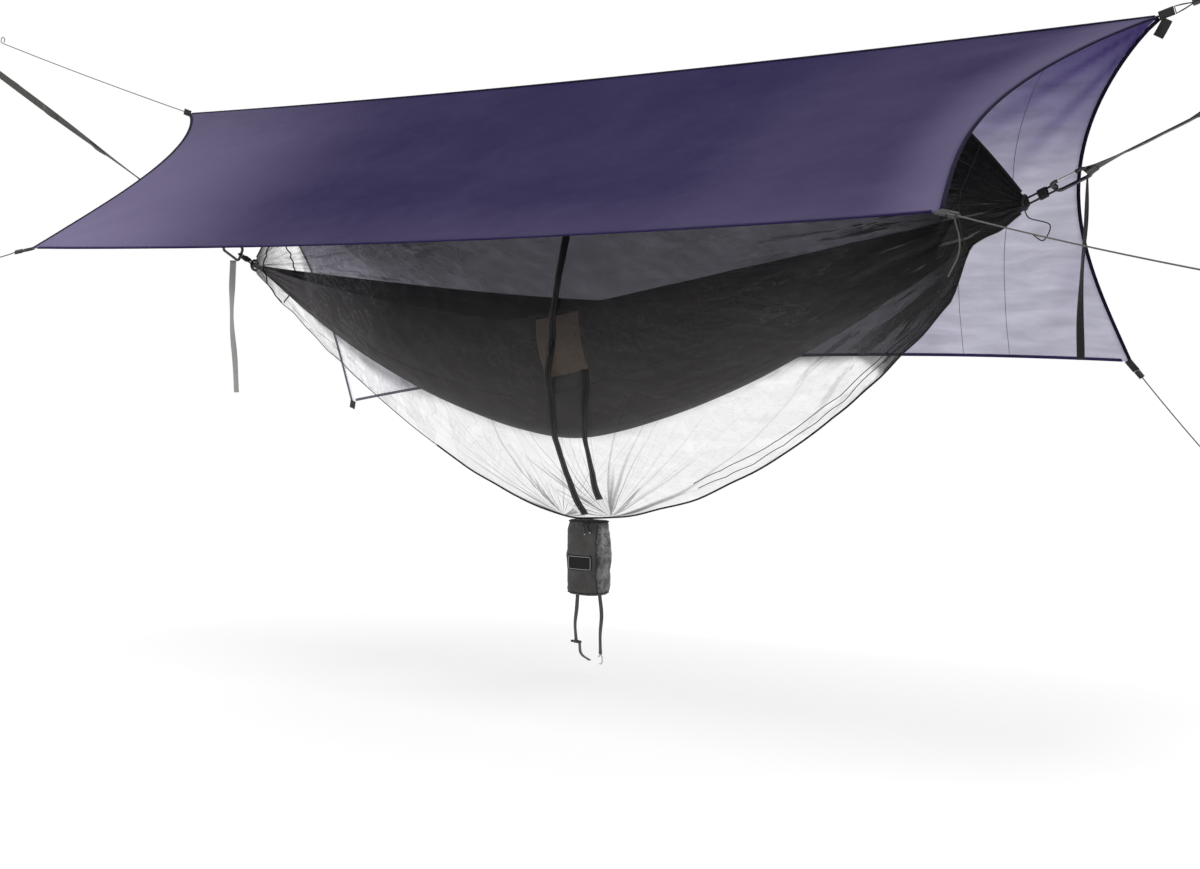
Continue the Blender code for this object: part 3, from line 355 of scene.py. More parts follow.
cordLooks = {
    "tarpThread": {"colour": (0.10, 0.09, 0.17), "fleck": (0.16, 0.15, 0.24), "rough": 0.7},
    "netEdge": {"colour": (0.10, 0.10, 0.10), "fleck": (0.34, 0.34, 0.34), "rough": 0.8},
    "guyCord": {"colour": (0.075, 0.075, 0.07), "fleck": (0.17, 0.17, 0.155), "rough": 0.75},
    "blackCord": {"colour": (0.014, 0.013, 0.014), "fleck": (0.045, 0.043, 0.045), "rough": 0.8},
    "whiteTip": {"colour": (0.62, 0.62, 0.6), "fleck": (0.75, 0.75, 0.74), "rough": 0.5},
}
hardLooks = {
    "blackPlastic": {"colour": (0.014, 0.014, 0.015), "worn": (0.03, 0.03, 0.031), "rough": 0.42, "metal": 0.0,
                     "grain": 220},
    "alloy": {"colour": (0.52, 0.52, 0.54), "worn": (0.36, 0.36, 0.37), "rough": 0.32, "metal": 1.0, "grain": 90},
    "darkAlloy": {"colour": (0.035, 0.035, 0.04), "worn": (0.12, 0.12, 0.13), "rough": 0.36, "metal": 1.0,
                  "grain": 90},
}
relief = {"crease": 0.006, "weave": 0.0004, "webbing": 0.0006, "braid": 0.0004, "speck": 0.0003}
waveTurn = 6.28
made = {}


def fromMap(tree, name="cloth"):
    return addNode(tree, "UVMap", uv_map=name).outputs[0]


def fromObject(tree):
    return addNode(tree, "TexCoord").outputs["Object"]


def bumped(tree, height, strength):
    return addNode(tree, "Bump", {"Strength": strength, "Distance": 1.0}, {"Height": height}).outputs[0]


def glossy(tree, colour, normal, values, **links):
    return addNode(tree, "BsdfPrincipled", values, {"Base Color": colour, "Normal": normal, **links}).outputs[0]


def finished(tree, surface):
    addNode(tree, "OutputMaterial", links={"Surface": surface})


def clothMaterial(tree, look):
    uv, spot = fromMap(tree), fromObject(tree)
    threads = [texture(tree, "Wave", uv, way, Scale=look["weave"] / waveTurn, Distortion=0.6, Detail=1.0).outputs["Fac"]
               for way in "XY"]
    weave = calc(tree, "MULTIPLY", *threads)
    clouds = texture(tree, "Noise", spot, Scale=look["mottle"], Detail=5.0, Roughness=0.6).outputs["Fac"]
    creases = texture(tree, "Noise", spot, Scale=look["mottle"] * 5, Detail=6.0, Roughness=0.65,
                      Distortion=0.7).outputs["Fac"]
    blend = ranged(tree, clouds, start=look.get("low", 0.35), end=look.get("high", 0.75))
    tone = addMix(tree, blend, look["colour"], look["worn"])
    if "pale" in look:  # painted light: the tone moves towards the pale colour by the glow attribute, where light shows through the cloth
        paintedGlow = fromAttribute(tree, "glow")
        tone = addMix(tree, paintedGlow, tone, look["pale"])
    shade = scaled(tree, tone, ranged(tree, weave, 0.86, 1.1))
    rough = ranged(tree, creases, look["rough"] - 0.1, look["rough"] + 0.14)
    height = calc(tree, "MULTIPLY_ADD", creases, relief["crease"], calc(tree, "MULTIPLY", weave, relief["weave"]))
    normal = bumped(tree, height, look["bump"])
    surface = glossy(tree, shade, normal, {"Sheen Weight": look["sheen"], "Sheen Roughness": 0.4,
                                           "Specular IOR Level": look["shine"]}, Roughness=rough)
    if "through" in look:  # light that comes through the cloth
        # painted light: the colour of the light that comes through is graded by the glow attribute
        passed = addMix(tree, paintedGlow, look["throughColour"], look.get("throughPale", look["pale"]))
        ripple = texture(tree, "Noise", scaled(tree, uv, (0.22, 1.0, 1.0)), Scale=26.0, Detail=5.0, Roughness=0.62,
                         Distortion=0.4).outputs["Fac"]
        passed = scaled(tree, passed, ranged(tree, ripple, 0.9, 1.08, 0.3, 0.7))
        # whiter light through the far panel towards its lower left corner
        if "bleached" in look:
            passed = addMix(tree, fromAttribute(tree, "bleach"), passed, look["bleached"])
        glow = addNode(tree, "BsdfTranslucent", links={"Color": passed, "Normal": normal})
        surface = addNode(tree, "MixShader", {"Fac": look["through"]}, {1: surface, 2: glow.outputs[0]}).outputs[0]
    finished(tree, surface)


def webbingMaterial(tree, look):
    uv = fromMap(tree)
    ribs = texture(tree, "Wave", uv, "X", Scale=130.0, Distortion=0.4).outputs["Fac"]
    cords = texture(tree, "Wave", uv, "Y", Scale=210.0, Distortion=0.4).outputs["Fac"]
    weave = calc(tree, "MULTIPLY", ribs, cords)
    fuzz = texture(tree, "Noise", uv, Scale=60.0, Detail=4.0).outputs["Fac"]
    # the edge colour along both edges, broken up by fuzz
    worn = calc(tree, "MULTIPLY_ADD", fromAttribute(tree, "edge"), fuzz, -0.28, clamp=True)
    tone = addMix(tree, worn, look["colour"], look["edge"])
    shade = scaled(tree, tone, ranged(tree, weave, 0.75, 1.2))
    normal = bumped(tree, calc(tree, "MULTIPLY", weave, relief["webbing"]), 0.7)
    rough = ranged(tree, fuzz, look["rough"] - 0.12, look["rough"] + 0.1)
    finished(tree, glossy(tree, shade, normal, {"Sheen Weight": 0.2, "Specular IOR Level": 0.3}, Roughness=rough))


def cordMaterial(tree, look):
    braid = texture(tree, "Voronoi", fromObject(tree), Scale=900.0).outputs["Distance"]
    tone = addMix(tree, braid, look["colour"], look["fleck"])
    normal = bumped(tree, calc(tree, "MULTIPLY", braid, relief["braid"]), 0.6)
    rough = ranged(tree, braid, look["rough"] - 0.1, look["rough"] + 0.15)
    finished(tree, glossy(tree, tone, normal, {"Specular IOR Level": 0.3}, Roughness=rough))


def hardMaterial(tree, look):
    speck = texture(tree, "Noise", fromObject(tree), Scale=look["grain"], Detail=6.0, Roughness=0.7).outputs["Fac"]
    tone = addMix(tree, ranged(tree, speck, start=0.4, end=0.7), look["colour"], look["worn"])
    rough = ranged(tree, speck, look["rough"] - 0.1, look["rough"] + 0.15)
    normal = bumped(tree, calc(tree, "MULTIPLY", speck, relief["speck"]), 0.25)
    finished(tree, glossy(tree, tone, normal, {"Metallic": look["metal"]}, Roughness=rough))


# a black mesh: colour is its painted lit tone, and the crease and streak colours are painted highlights
netLook = {"dark": (0.0085, 0.0075, 0.008), "colour": (0.135, 0.130, 0.129), "crest": (0.22, 0.215, 0.215),
           "streak": (0.11, 0.108, 0.108), "pitch": 900.0, "crinkle": 26.0, "weights": (0.7, 0.07, 0.30, 0.35, 0.08)}


def netMaterial(tree, look):
    # see-through mesh: how closed it is comes from an attribute of painted glare and shade, closed where shade lies
    # behind and sheer where the bright backdrop does; folds, creases and painted highlights are drawn over it
    uv, rays, ends = (fromMap(tree, name) for name in ("cloth", "rays", "ends"))
    share = {name: fromAttribute(tree, name) for name in ("closeWeave", "bunched", "crinkle", "endwise", "tint")}

    def times(first, second):
        return calc(tree, "MULTIPLY", first, second)

    def offMiddle(value):
        return calc(tree, "ABSOLUTE", calc(tree, "SUBTRACT", value, 0.5))

    def band(value, start, end):
        return ranged(tree, value, 1.0, 0.0, start, end)

    # folds that fan out from the sack
    fan = texture(tree, "Noise", rays, Scale=3.1, Detail=1.0, Roughness=0.35).outputs["Fac"]
    radius = addNode(tree, "SeparateXYZ", links={0: rays}).outputs[1]
    reach = calc(tree, "MAXIMUM", times(radius, 6.5), 0.06)
    foldLine = times(band(times(offMiddle(fan), reach), 0.0004, 0.0026), share["bunched"])
    # fine crinkles, longer than wide
    bent = texture(tree, "Noise", uv, Scale=4.0, Detail=3.0, Roughness=0.5)
    push = scaled(tree, bent.outputs["Color"], (0.10, 0.10, 0.0))
    moved = addNode(tree, "VectorMath", links={0: uv, 1: push}, operation="ADD").outputs[0]
    turned = addNode(tree, "VectorRotate", {"Angle": 0.75}, {"Vector": moved}, rotation_type="Z_AXIS").outputs[0]
    cells = texture(tree, "Noise", scaled(tree, turned, (1.0, 0.30, 1.0)), Scale=look["crinkle"], Detail=7.0,
                    Roughness=0.62, Distortion=0.25).outputs["Fac"]
    crease = times(band(offMiddle(cells), 0.004, 0.026), share["crinkle"])
    swell = times(calc(tree, "SUBTRACT", cells, 0.5), share["crinkle"])
    # pleats and painted highlight streaks that run into the ends
    longEnds = texture(tree, "Noise", ends, Scale=9.0, Detail=5.0, Roughness=0.65, Distortion=0.5).outputs["Fac"]
    pleat = times(band(longEnds, 0.40, 0.45), share["endwise"])
    shine = times(band(longEnds, 0.66, 0.60), share["endwise"])
    grain = texture(tree, "Noise", uv, Scale=70.0, Detail=3.0).outputs["Fac"]
    threads = calc(tree, "MAXIMUM", *(texture(tree, "Wave", uv, way, Scale=look["pitch"] / waveTurn).outputs["Fac"]
                                      for way in "XY"))
    closed = share["closeWeave"]
    for layer, weight in zip((foldLine, crease, swell, pleat, shine), look["weights"]):
        closed = calc(tree, "ADD", closed, times(layer, weight))
    closed = calc(tree, "ADD", closed, calc(tree, "MULTIPLY_ADD", grain, 0.05, -0.025))
    closed = calc(tree, "MULTIPLY", closed, calc(tree, "MULTIPLY_ADD", threads, 0.12, 0.91), clamp=True)
    # painted light: the black mesh moves to its lit tone by the net's painted-light attribute, with painted highlights
    # on creases and along the streaks
    tone = addMix(tree, share["tint"], look["dark"], look["colour"])
    tone = addMix(tree, times(crease, times(share["tint"], 0.42)), tone, look["crest"])
    tone = addMix(tree, shine, tone, look["streak"])
    height = calc(tree, "MULTIPLY_ADD", cells, 0.02, times(bent.outputs["Fac"], 0.01))
    values = {"Roughness": 0.7, "Specular IOR Level": 0.15, "Sheen Weight": 0.06}
    finished(tree, glossy(tree, tone, bumped(tree, height, 0.6), values, Alpha=closed))


for looks, rule in ((clothLooks, clothMaterial), (webbingLooks, webbingMaterial), (cordLooks, cordMaterial),
                    (hardLooks, hardMaterial), ({"insectNet": netLook}, netMaterial)):
    for lookName, look in looks.items():
        made[lookName] = bpy.data.materials.new(lookName)
        rule(nodeTree(made[lookName]), look)
print("materials made")

# helpers for shapes


def grab(*pieces):
    # these pieces are selected and nothing else, the last one active
    bpy.ops.object.select_all(action="DESELECT")
    for piece in pieces:
        piece.select_set(True)
        bpy.context.view_layer.objects.active = piece


def keep(piece, name, material, body, slot, nodes=()):
    piece.name = name
    piece.data.name = name
    piece.data.materials.clear()
    piece.data.materials.append(made[material])
    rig.ride(piece, body)
    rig.slot(piece, slot)
    if nodes:
        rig.replaces(piece, *nodes)
    return piece


def applyAll(piece):
    grab(piece)
    for mod in list(piece.modifiers):
        bpy.ops.object.modifier_apply(modifier=mod.name)


def softened(piece, width, segments=4):
    # bevelled edges and smooth faces
    soft = piece.modifiers.new("soft", "BEVEL")
    soft.width = width
    soft.segments = segments
    applyAll(piece)
    bpy.ops.object.shade_smooth_by_angle(angle=radians(40))
    return piece


def block(size):
    grab()
    bpy.ops.mesh.primitive_cube_add(size=1)
    piece = bpy.context.object
    piece.scale = size
    bpy.ops.object.transform_apply(location=False, rotation=False, scale=True)
    return piece


def frameAt(place, along, side):
    x = along.normalized()
    z = x.cross(side).normalized()
    return Matrix.Translation(place) @ Matrix((x, z.cross(x), z)).transposed().to_4x4()


def settle(piece, matrix):
    piece.data.transform(matrix)
    piece.matrix_world = Matrix.Identity(4)


def clamped(value):
    return min(1, max(0, value))


def eased(value):
    value = clamped(value)
    return value * value * (3 - 2 * value)


def wander(x, y, z):
    return noise.noise(Vector((x, y, z)))


def facing(vector, way):
    # the unit vector, turned round where it points against way
    unit = vector.normalized()
    return -unit if unit.dot(way) < 0 else unit


def spaced(steps, start=0.0, end=1.0):
    # evenly spaced values with both ends
    return [start + (end - start) * step / steps for step in range(steps + 1)]


def arc(hub, first, second, start, end, steps=12):
    # points on an ellipse about the hub, with first and second as its half axes
    return [hub + first * cos(turn) + second * sin(turn) for turn in spaced(steps, start, end)]


def bowed(start, run, rise, steps=8):
    # a straight run that swells by rise in its middle
    return [start + run * t + rise * sin(pi * t) for t in spaced(steps)]


def roundPath(points, steps):
    held = [points[0] * 2 - points[1], *points, points[-1] * 2 - points[-2]]
    path = []
    for a, b, c, d in zip(held, held[1:], held[2:], held[3:]):
        for step in range(steps):
            t = step / steps
            path.append((b * 2 + (c - a) * t + (a * 2 - b * 5 + c * 4 - d) * t * t
                         + (b * 3 - a - c * 3 + d) * t ** 3) / 2)
    path.append(points[-1].copy())
    return path


def roundRoute(top, *steps, count=6):
    return roundPath([top, *(top + Vector(step) for step in steps)], count)


def pathLength(points):
    return sum((b - a).length for a, b in zip(points, points[1:]))


def clothSheet(cells, place, size, thickness, attributes=None, maps=None):
    grab()
    bpy.ops.mesh.primitive_grid_add(x_subdivisions=cells[0], y_subdivisions=cells[1], size=1)
    piece = bpy.context.object
    mesh = piece.data
    spots = [(v.co.x + 0.5, v.co.y + 0.5) for v in mesh.vertices]
    for vertex, spot in zip(mesh.vertices, spots):
        vertex.co = place(*spot)
    for name, rule in (attributes or {}).items():
        layer = mesh.attributes.new(name, "FLOAT", "POINT")
        for row, spot in zip(layer.data, spots):
            row.value = rule(*spot)
    while mesh.uv_layers:
        mesh.uv_layers.remove(mesh.uv_layers[0])
    for name, rule in {"cloth": lambda u, v: (u * size[0], v * size[1]), **(maps or {})}.items():
        mapped = [rule(*spot) for spot in spots]
        layer = mesh.uv_layers.new(name=name)
        for loop, row in zip(mesh.loops, layer.data):
            row.uv = mapped[loop.vertex_index]
    mesh.polygons.foreach_set("use_smooth", [True] * len(mesh.polygons))
    if thickness:
        wall = piece.modifiers.new("wall", "SOLIDIFY")
        wall.thickness = thickness
        wall.offset = 0.0
        applyAll(piece)
    return piece


def webbingPiece(points, ways, width, thickness, cells=4):
    steps = len(points) - 1
    if isinstance(ways, Vector):
        ways = [ways] * len(points)

    def place(u, v):
        index = round(u * steps)
        return points[index] + ways[index].normalized() * ((v - 0.5) * width)

    return clothSheet((steps, cells), place, (pathLength(points), width), thickness,
                      {"edge": lambda u, v: 1.0 if v < 0.01 or v > 0.99 else 0.0})


def cordPiece(points, radius, closed=False):
    data = bpy.data.curves.new("cord", "CURVE")
    data.dimensions = "3D"
    data.bevel_depth = radius
    data.bevel_resolution = 3
    data.use_fill_caps = not closed
    line = data.splines.new("POLY")
    line.points.add(len(points) - 1)
    for point, place in zip(line.points, points):
        point.co = (*place, 1)
    line.use_cyclic_u = closed
    line.use_smooth = True
    piece = bpy.data.objects.new("cord", data)
    bpy.context.scene.collection.objects.link(piece)
    return piece


def keepCord(points, radius, name, body, *nodes, paint="blackCord", slot="black_cord", closed=False):
    return keep(cordPiece(points, radius, closed), name, paint, body, slot, nodes)


def looseEnd(piece, points, width, farEnd, lay, **more):
    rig.cord(piece, exit=points[0], length=pathLength(points), diameter=width, far_end=farEnd, stiffness="limp",
            lay=lay, **more)


# hang line, straps and their ends

hang = {"half": 1.285, "rise": 0.032, "loop": 0.08, "carabiner": 0.085, "ringWidth": 0.046, "strapWidth": 0.025,
        "strapThick": 0.0018, "rod": 0.0045, "gap": 0.0003, "sewn": 0.022, "eye": 0.022, "leftNeck": 0.07,
        "rightNeck": 0.010, "seam": 0.00015, "flat": 0.03, "step": 0.03, "turn": 1.31}


def hangHeight(x):
    return hang["rise"] * x / (2 * hang["half"])


tips = {"left": (Vector((-hang["half"], 0, hangHeight(-hang["half"]))), Vector((-1.453, 0, 0.817))),
        "right": (Vector((hang["half"], 0, hangHeight(hang["half"]))), Vector((0.436, 0, 0.181)))}


def strapWays(side):
    # along the strap, its own upward and sideways, and the bar that the hammock's loop goes round
    tip, run = tips[side]
    along = run.normalized()
    upward = facing(across.cross(along), up)
    turn = hang["turn"] if side == "right" else 0
    upward, sideways = upward * cos(turn) - across * sin(turn), upward * sin(turn) + across * cos(turn)
    return along, upward, sideways, tip + along * hang["loop"]


def strapTwist(share, side):
    # the left strap turns edge on by the tarp and flat towards its tree, the right one is nearly edge on all along
    if side == "left":
        return -1.05 * min(1, share * 4) * (1 - eased((share - 0.34) / 0.5))
    return -0.36 * min(1, share * 7) * min(1, (1 - share) * 9)


def strapLine(side, lap):
    # the strap from the side, one layer with a sewn fold at each end, and where its neck is
    bend = hang["rod"] + hang["gap"] + hang["strapThick"] / 2
    sewn, eye, split = hang["sewn"], hang["eye"], hang[side + "Neck"]
    neck = tips[side][1].length - hang["loop"] - hang["carabiner"] - split - eye

    def fold(x, radius, start, end):
        return arc(Vector((x, 0)), Vector((radius, 0)), Vector((0, radius)), start, end)

    line = [(sewn, -lap), (sewn / 2, -(lap + bend) / 2), *fold(0, bend, -pi / 2, -3 * pi / 2),
            (sewn / 2, (lap + bend) / 2)]
    line += [(x, lap) for x in spaced(max(6, round(neck / hang["step"])), sewn, neck)]
    line += [(neck + split / 2, (lap + eye) / 2), *fold(neck + split, eye, pi / 2, -pi / 2),
             (neck + split / 2, -(lap + eye) / 2), (neck, -lap), (neck - sewn / 2, -lap)]
    return line, neck


strapLoops = {"left": (0.10, 0.28, 0.5, 0.72, 0.9), "right": (0.3, 0.66), "leftBulge": 0.0042, "rightBulge": 0.0012,
              "lift": 0.0014, "length": 0.096, "thick": 0.0009}


def makeStrap(side):
    along, upward, sideways, bar = strapWays(side)
    outer = bar + along * hang["carabiner"]
    lap = hang["strapThick"] / 2 + hang["gap"] / 2 + hang["seam"]
    line, neck = strapLine(side, lap)

    def widthWay(share):
        twist = strapTwist(share, side)
        return upward * cos(twist) + sideways * sin(twist)

    points = [outer + along * x + sideways * y for x, y in line]
    ways = [widthWay(clamped((x - hang["flat"]) / (neck - hang["flat"]))) for x, y in line]
    keep(webbingPiece(points, ways, hang["strapWidth"], hang["strapThick"], 8), "strap" + side.title(), "strapGrey",
         fixed, "strap_grey", ["strap_" + side])
    for letter, share in zip("ABCDE", strapLoops[side]):  # the sewn adjustment loops stand a little off the strap
        width = widthWay(share)
        off = facing(along.cross(width), -up)
        start = outer + along * (hang["flat"] + (neck - 2 * hang["flat"]) * share) + sideways * lap
        bow = bowed(start + off * strapLoops["lift"], along * strapLoops["length"], off * strapLoops[side + "Bulge"], 6)
        keep(webbingPiece(bow, width, hang["strapWidth"] * 0.9, strapLoops["thick"]),
             "strapLoop" + side.title() + letter, "strapGrey", fixed, "strap_grey")


strapTails = {"width": 0.02, "thick": 0.0015, "left": 0.43, "right": 0.42, "drift": 0.012, "leftPlace": 0.043,
              "rightPlace": 0.002}


def makeStrapTail(side):
    along, bar = strapWays(side)[::3]
    length, drift, width = strapTails[side], strapTails["drift"], strapTails["width"]
    rod, gap = hang["rod"], hang["gap"]
    paint, slot, sign = "tailGrey", "strap_grey", 1
    clear = (hang["ringWidth"] / 2 + rod + width / 2 * abs(along.z)) / abs(along.x) + gap
    if side == "right":
        paint, slot, sign = "webbingBlack", "webbing", -1
        clear = rod + gap + hang["strapThick"] + gap
    top = bar + along * (hang["carabiner"] - strapTails[side + "Place"]) - up * clear
    points = roundRoute(top, (0, -drift / 2, -length / 4), (sign * drift / 2, -drift, -length / 2),
                        (sign * drift, -drift / 2, -length * 3 / 4), (sign * drift, 0, -length), count=12)
    ways = []
    for index in range(len(points)):
        share = index / (len(points) - 1)
        if side == "left":
            turn = 1.0 - 0.9 * min(1, share * 4) + 0.5 * sin(share * 11) * (1 - share)
        else:
            turn = -1.15 + 0.85 * share + 0.18 * sin(share * 9)
        ways.append(Vector((cos(turn), sin(turn), 0)))
    tail = keep(webbingPiece(points, ways, width, strapTails["thick"], 6), "strapTail" + side.title(), paint, fixed,
                slot, ["strap_tail_" + side])
    looseEnd(tail, points, width, "bare", "hanging", path=[list(p) for p in points])


for sideName in ("left", "right"):
    makeStrap(sideName)
    makeStrapTail(sideName)
print("straps made")

# guy lines and the tarp's tie points

tarp = {"ridgeLength": 3.194, "ridgeLeft": 0.503, "ridgeRight": 0.408, "ridgeSag": 0.018, "seamHalfGap": 0.0007,
        "thick": 0.001, "endCut": 0.165, "edgeCut": 0.08, "skew": 0.8}
panels = {
    -1: {"word": "Near", "spread": -0.827, "left": (-1.294, -0.017), "right": (1.443, -0.086), "sag": 0.055,
         "belly": 0.02},
    1: {"word": "Far", "spread": 0.48, "left": (-1.32, -0.456), "right": (1.379, -0.345), "sag": 0.0, "belly": 0.012},
}
ridgeEnds = (Vector((-tarp["ridgeLength"] / 2, 0, tarp["ridgeLeft"])),
             Vector((tarp["ridgeLength"] / 2, 0, tarp["ridgeRight"])))
corners = {side: [Vector((panel[end][0], panel["spread"], panel[end][1])) for end in ("left", "right")]
           for side, panel in panels.items()}
guys = {"radius": 0.0015, "eye": 0.011, "sag": 0.004, "turn": 0.85, "tabGap": 0.0006, "tabOver": 0.004,
        "tabLength": 0.03, "tabWidth": 0.02, "tabThick": 0.0026, "tabBow": 0.0004, "lockLength": 0.022,
        "lockWidth": 0.014, "lockThick": 0.007, "loopLength": 0.04, "loopCord": 0.0016, "tailLength": 0.11,
        "tailSteps": ((0.10, 0, -0.38), (0.08, 0, -0.65), (-0.10, 0, -1.0)), "stitch": 0.0003}
guyRuns = {"ridge_left": (-1.02, 0, 0.355), "ridge_right": (0.105, 0, 0.028), "near_left": (-0.106, -0.079, -0.030),
           "near_right": (0.578, -0.289, -0.153), "far_right": (0.180, 0.135, -0.259),
           "far_left": (-0.180, 0.135, -0.259)}


def tarpPoint(u, v, side):
    panel = panels[side]
    bow = 4 * u * (1 - u)
    top = ridgeEnds[0].lerp(ridgeEnds[1], u) - up * (tarp["ridgeSag"] * bow) + across * (side * tarp["seamHalfGap"])
    edge = corners[side][0].lerp(corners[side][1], u)
    edge = edge + (top - edge).normalized() * (tarp["edgeCut"] * bow) - up * (panel["sag"] * bow)
    point = top.lerp(edge, v)
    point.x += tarp["endCut"] * sin(pi * v ** tarp["skew"]) * (1 - 2 * u)
    point.z -= panel["belly"] * bow * sin(pi * v)
    return point


def camelName(words):
    first, *rest = words.split("_")
    return first + "".join(word.title() for word in rest)


lockShape = {"rim": 0.0008, "hollow": 0.0022, "bevel": 0.0009, "bar": 0.004}


def makeLock(name, middle, way, face):
    piece = block((guys["lockLength"], guys["lockWidth"], guys["lockThick"]))
    bpy.ops.object.mode_set(mode="EDIT")
    bpy.ops.mesh.select_all(action="SELECT")
    bpy.ops.mesh.subdivide(number_cuts=2)
    bpy.ops.mesh.select_all(action="DESELECT")
    bpy.ops.object.mode_set(mode="OBJECT")
    for side in piece.data.polygons:
        if abs(side.normal.z) > 0.9 and abs(side.center.y) < 0.001:
            side.select = abs(side.center.x) > lockShape["bar"]
    bpy.ops.object.mode_set(mode="EDIT")
    bpy.ops.mesh.inset(thickness=lockShape["rim"])
    bpy.ops.mesh.extrude_region_shrink_fatten(TRANSFORM_OT_shrink_fatten={"value": -lockShape["hollow"]})
    bpy.ops.object.mode_set(mode="OBJECT")
    settle(softened(piece, lockShape["bevel"], 3), frameAt(middle, way, face))
    keep(piece, camelName("cord_lock_" + name), "blackPlastic", fixed, "black_plastic", ["lock_" + name])


stitchBox = ((0.15, -0.36), (0.8, -0.36), (0.8, 0.36), (0.15, 0.36), (0.8, -0.36), (0.8, 0.36), (0.15, -0.36))


def makeTab(name, corner, way, side):
    length, width, thick = guys["tabLength"], guys["tabWidth"], guys["tabThick"]
    start = corner - way * guys["tabOver"]
    normal = way.cross(side)
    points = bowed(start, way * (length + guys["tabOver"]), normal * guys["tabBow"])
    keep(webbingPiece(points, side, width, thick * 0.8, 8), camelName("tab_" + name),
         "strapGrey" if name == "far_left" else "webbingBlack", fixed, "webbing", ["tab_" + name])
    for sign, word in ((-1, "Under"), (1, "Over")):  # box stitching on both faces
        box = [start + way * (length * a) + side * (width * b) + normal * (sign * thick * 0.42) for a, b in stitchBox]
        keepCord(box, guys["stitch"], camelName("stitch_" + name) + word, fixed)


def makeRidgeLoop(base, way, side):
    cord = guys["loopCord"]
    wide, close = side * (guys["tabWidth"] / 2 - cord), side * (cord * 2)
    far = way * (guys["loopLength"] - cord * 2)
    ring = [base + wide, base + far / 2 + (wide + close) / 2, base + far + close / 2, base + far - close / 2,
            base + far / 2 - (wide + close) / 2, base - wide]
    keepCord(ring, cord, "ridgeLoop", fixed, "ridge_loop", closed=True)


def guyPath(start, run):
    # a line that sags a little, with an eye turned at its end
    way = run.normalized()
    eye = guys["eye"]
    stretch = run.length - 2 * eye
    points = [start + way * (stretch * t) - up * (guys["sag"] * 4 * t * (1 - t))
              for t in spaced(max(8, round(stretch / (eye * 4))))]
    rise = facing(way.cross(across), up)
    hub = points[-1] + rise * eye
    return points + arc(hub, way * eye, rise * eye, -pi / 2, -pi / 2 + 2 * pi * guys["turn"], 18)[1:]


def keepGuy(points, name, node, lay):
    line = keepCord(points, guys["radius"], name, fixed, node, paint="guyCord", slot="guy_cord")
    looseEnd(line, points, guys["radius"] * 2, "knot", lay)


def makeTiePoint(name, corner, face):
    # the corner's tab, cord lock and guy line in a row, each where the point has one
    run = Vector(guyRuns[name])
    way = run.normalized()
    side = (face - way * face.dot(way)).normalized()
    makeTab(name, corner, way, side)
    reach = guys["tabGap"] + guys["tabLength"] + hang["gap"]
    if name == "ridge_right":
        makeRidgeLoop(corner + way * (reach + guys["loopCord"]), way, side)
        reach += guys["loopLength"] + hang["gap"]
    middle = corner + way * (reach + guys["lockLength"] / 2)
    if name not in ("ridge_left", "far_left"):
        makeLock(name, middle, way, face)
        reach += guys["lockLength"] + hang["gap"]
    if name != "far_left":
        keepGuy(guyPath(corner + way * reach, run), camelName("guy_line_" + name), "guy_line_" + name, "taut")
    return middle


def makeGuyTail(lock, face):
    under = facing(Vector(guyRuns["near_right"]).cross(face), -up)
    length = guys["tailLength"]
    top = lock + under * (guys["lockThick"] / 2 + hang["gap"])
    points = roundRoute(top, under * (length / 7), *(Vector(step) * length for step in guys["tailSteps"]))
    keepGuy(points, "guyTail", "guy_tail_near_right", "hanging")


tag = {"length": 0.042, "width": 0.024, "thick": 0.001, "bow": 0.0012, "halfDepth": 0.012}


def makeRidgeTag():
    way = Vector(guyRuns["ridge_right"]).normalized()
    middle = ridgeEnds[1] + way * (guys["tabGap"] + guys["tabLength"] / 2)
    clear = guys["tabWidth"] / 2 / way.x + tag["halfDepth"] * abs(way.z / way.x) + hang["gap"]
    points = bowed(middle - up * clear, Vector((-0.5, 0, -0.866)) * tag["length"], across * tag["bow"])
    keep(webbingPiece(points, Vector((0.866, 0, -0.5)), tag["width"], tag["thick"], 8), "ridgeTag", "webbingBlack",
         fixed, "webbing", ["tarp_side_tag"])


nearFace, farFace = (tarpPoint(0.5, 0.5, side) - tarpPoint(0.5, 1, side) for side in panels)
makeTiePoint("ridge_left", ridgeEnds[0], up)
makeTiePoint("ridge_right", ridgeEnds[1], up)
makeTiePoint("near_left", corners[-1][0], nearFace)
nearLock = makeTiePoint("near_right", corners[-1][1], nearFace)
makeTiePoint("far_right", corners[1][1], farFace)
makeTiePoint("far_left", corners[1][0], farFace)
makeGuyTail(nearLock, nearFace)
makeRidgeTag()
print("guy lines and tie points made")

# tarp

tarpLook = {"cells": (220, 84), "drop": 0.97, "foldReach": 0.42, "foldDepth": 0.0045, "folds": 9.0, "ripple": 0.0035,
            "crinkle": 0.0012, "edgeInset": 0.004,
            "seams": (0.893, 0.94), "seam": 0.0007, "seamLift": 0.0012, "hemWidth": 0.0085, "hemThick": 0.0021,
            "hemOver": 0.0042, "rollWidth": 0.009, "rollThick": 0.0026, "rollUnder": 0.004, "paleColumns": 34,
            "tapeWidth": 0.015, "tapeLift": 0.0014, "tapeMiddle": 0.0019, "wing": 0.0072}


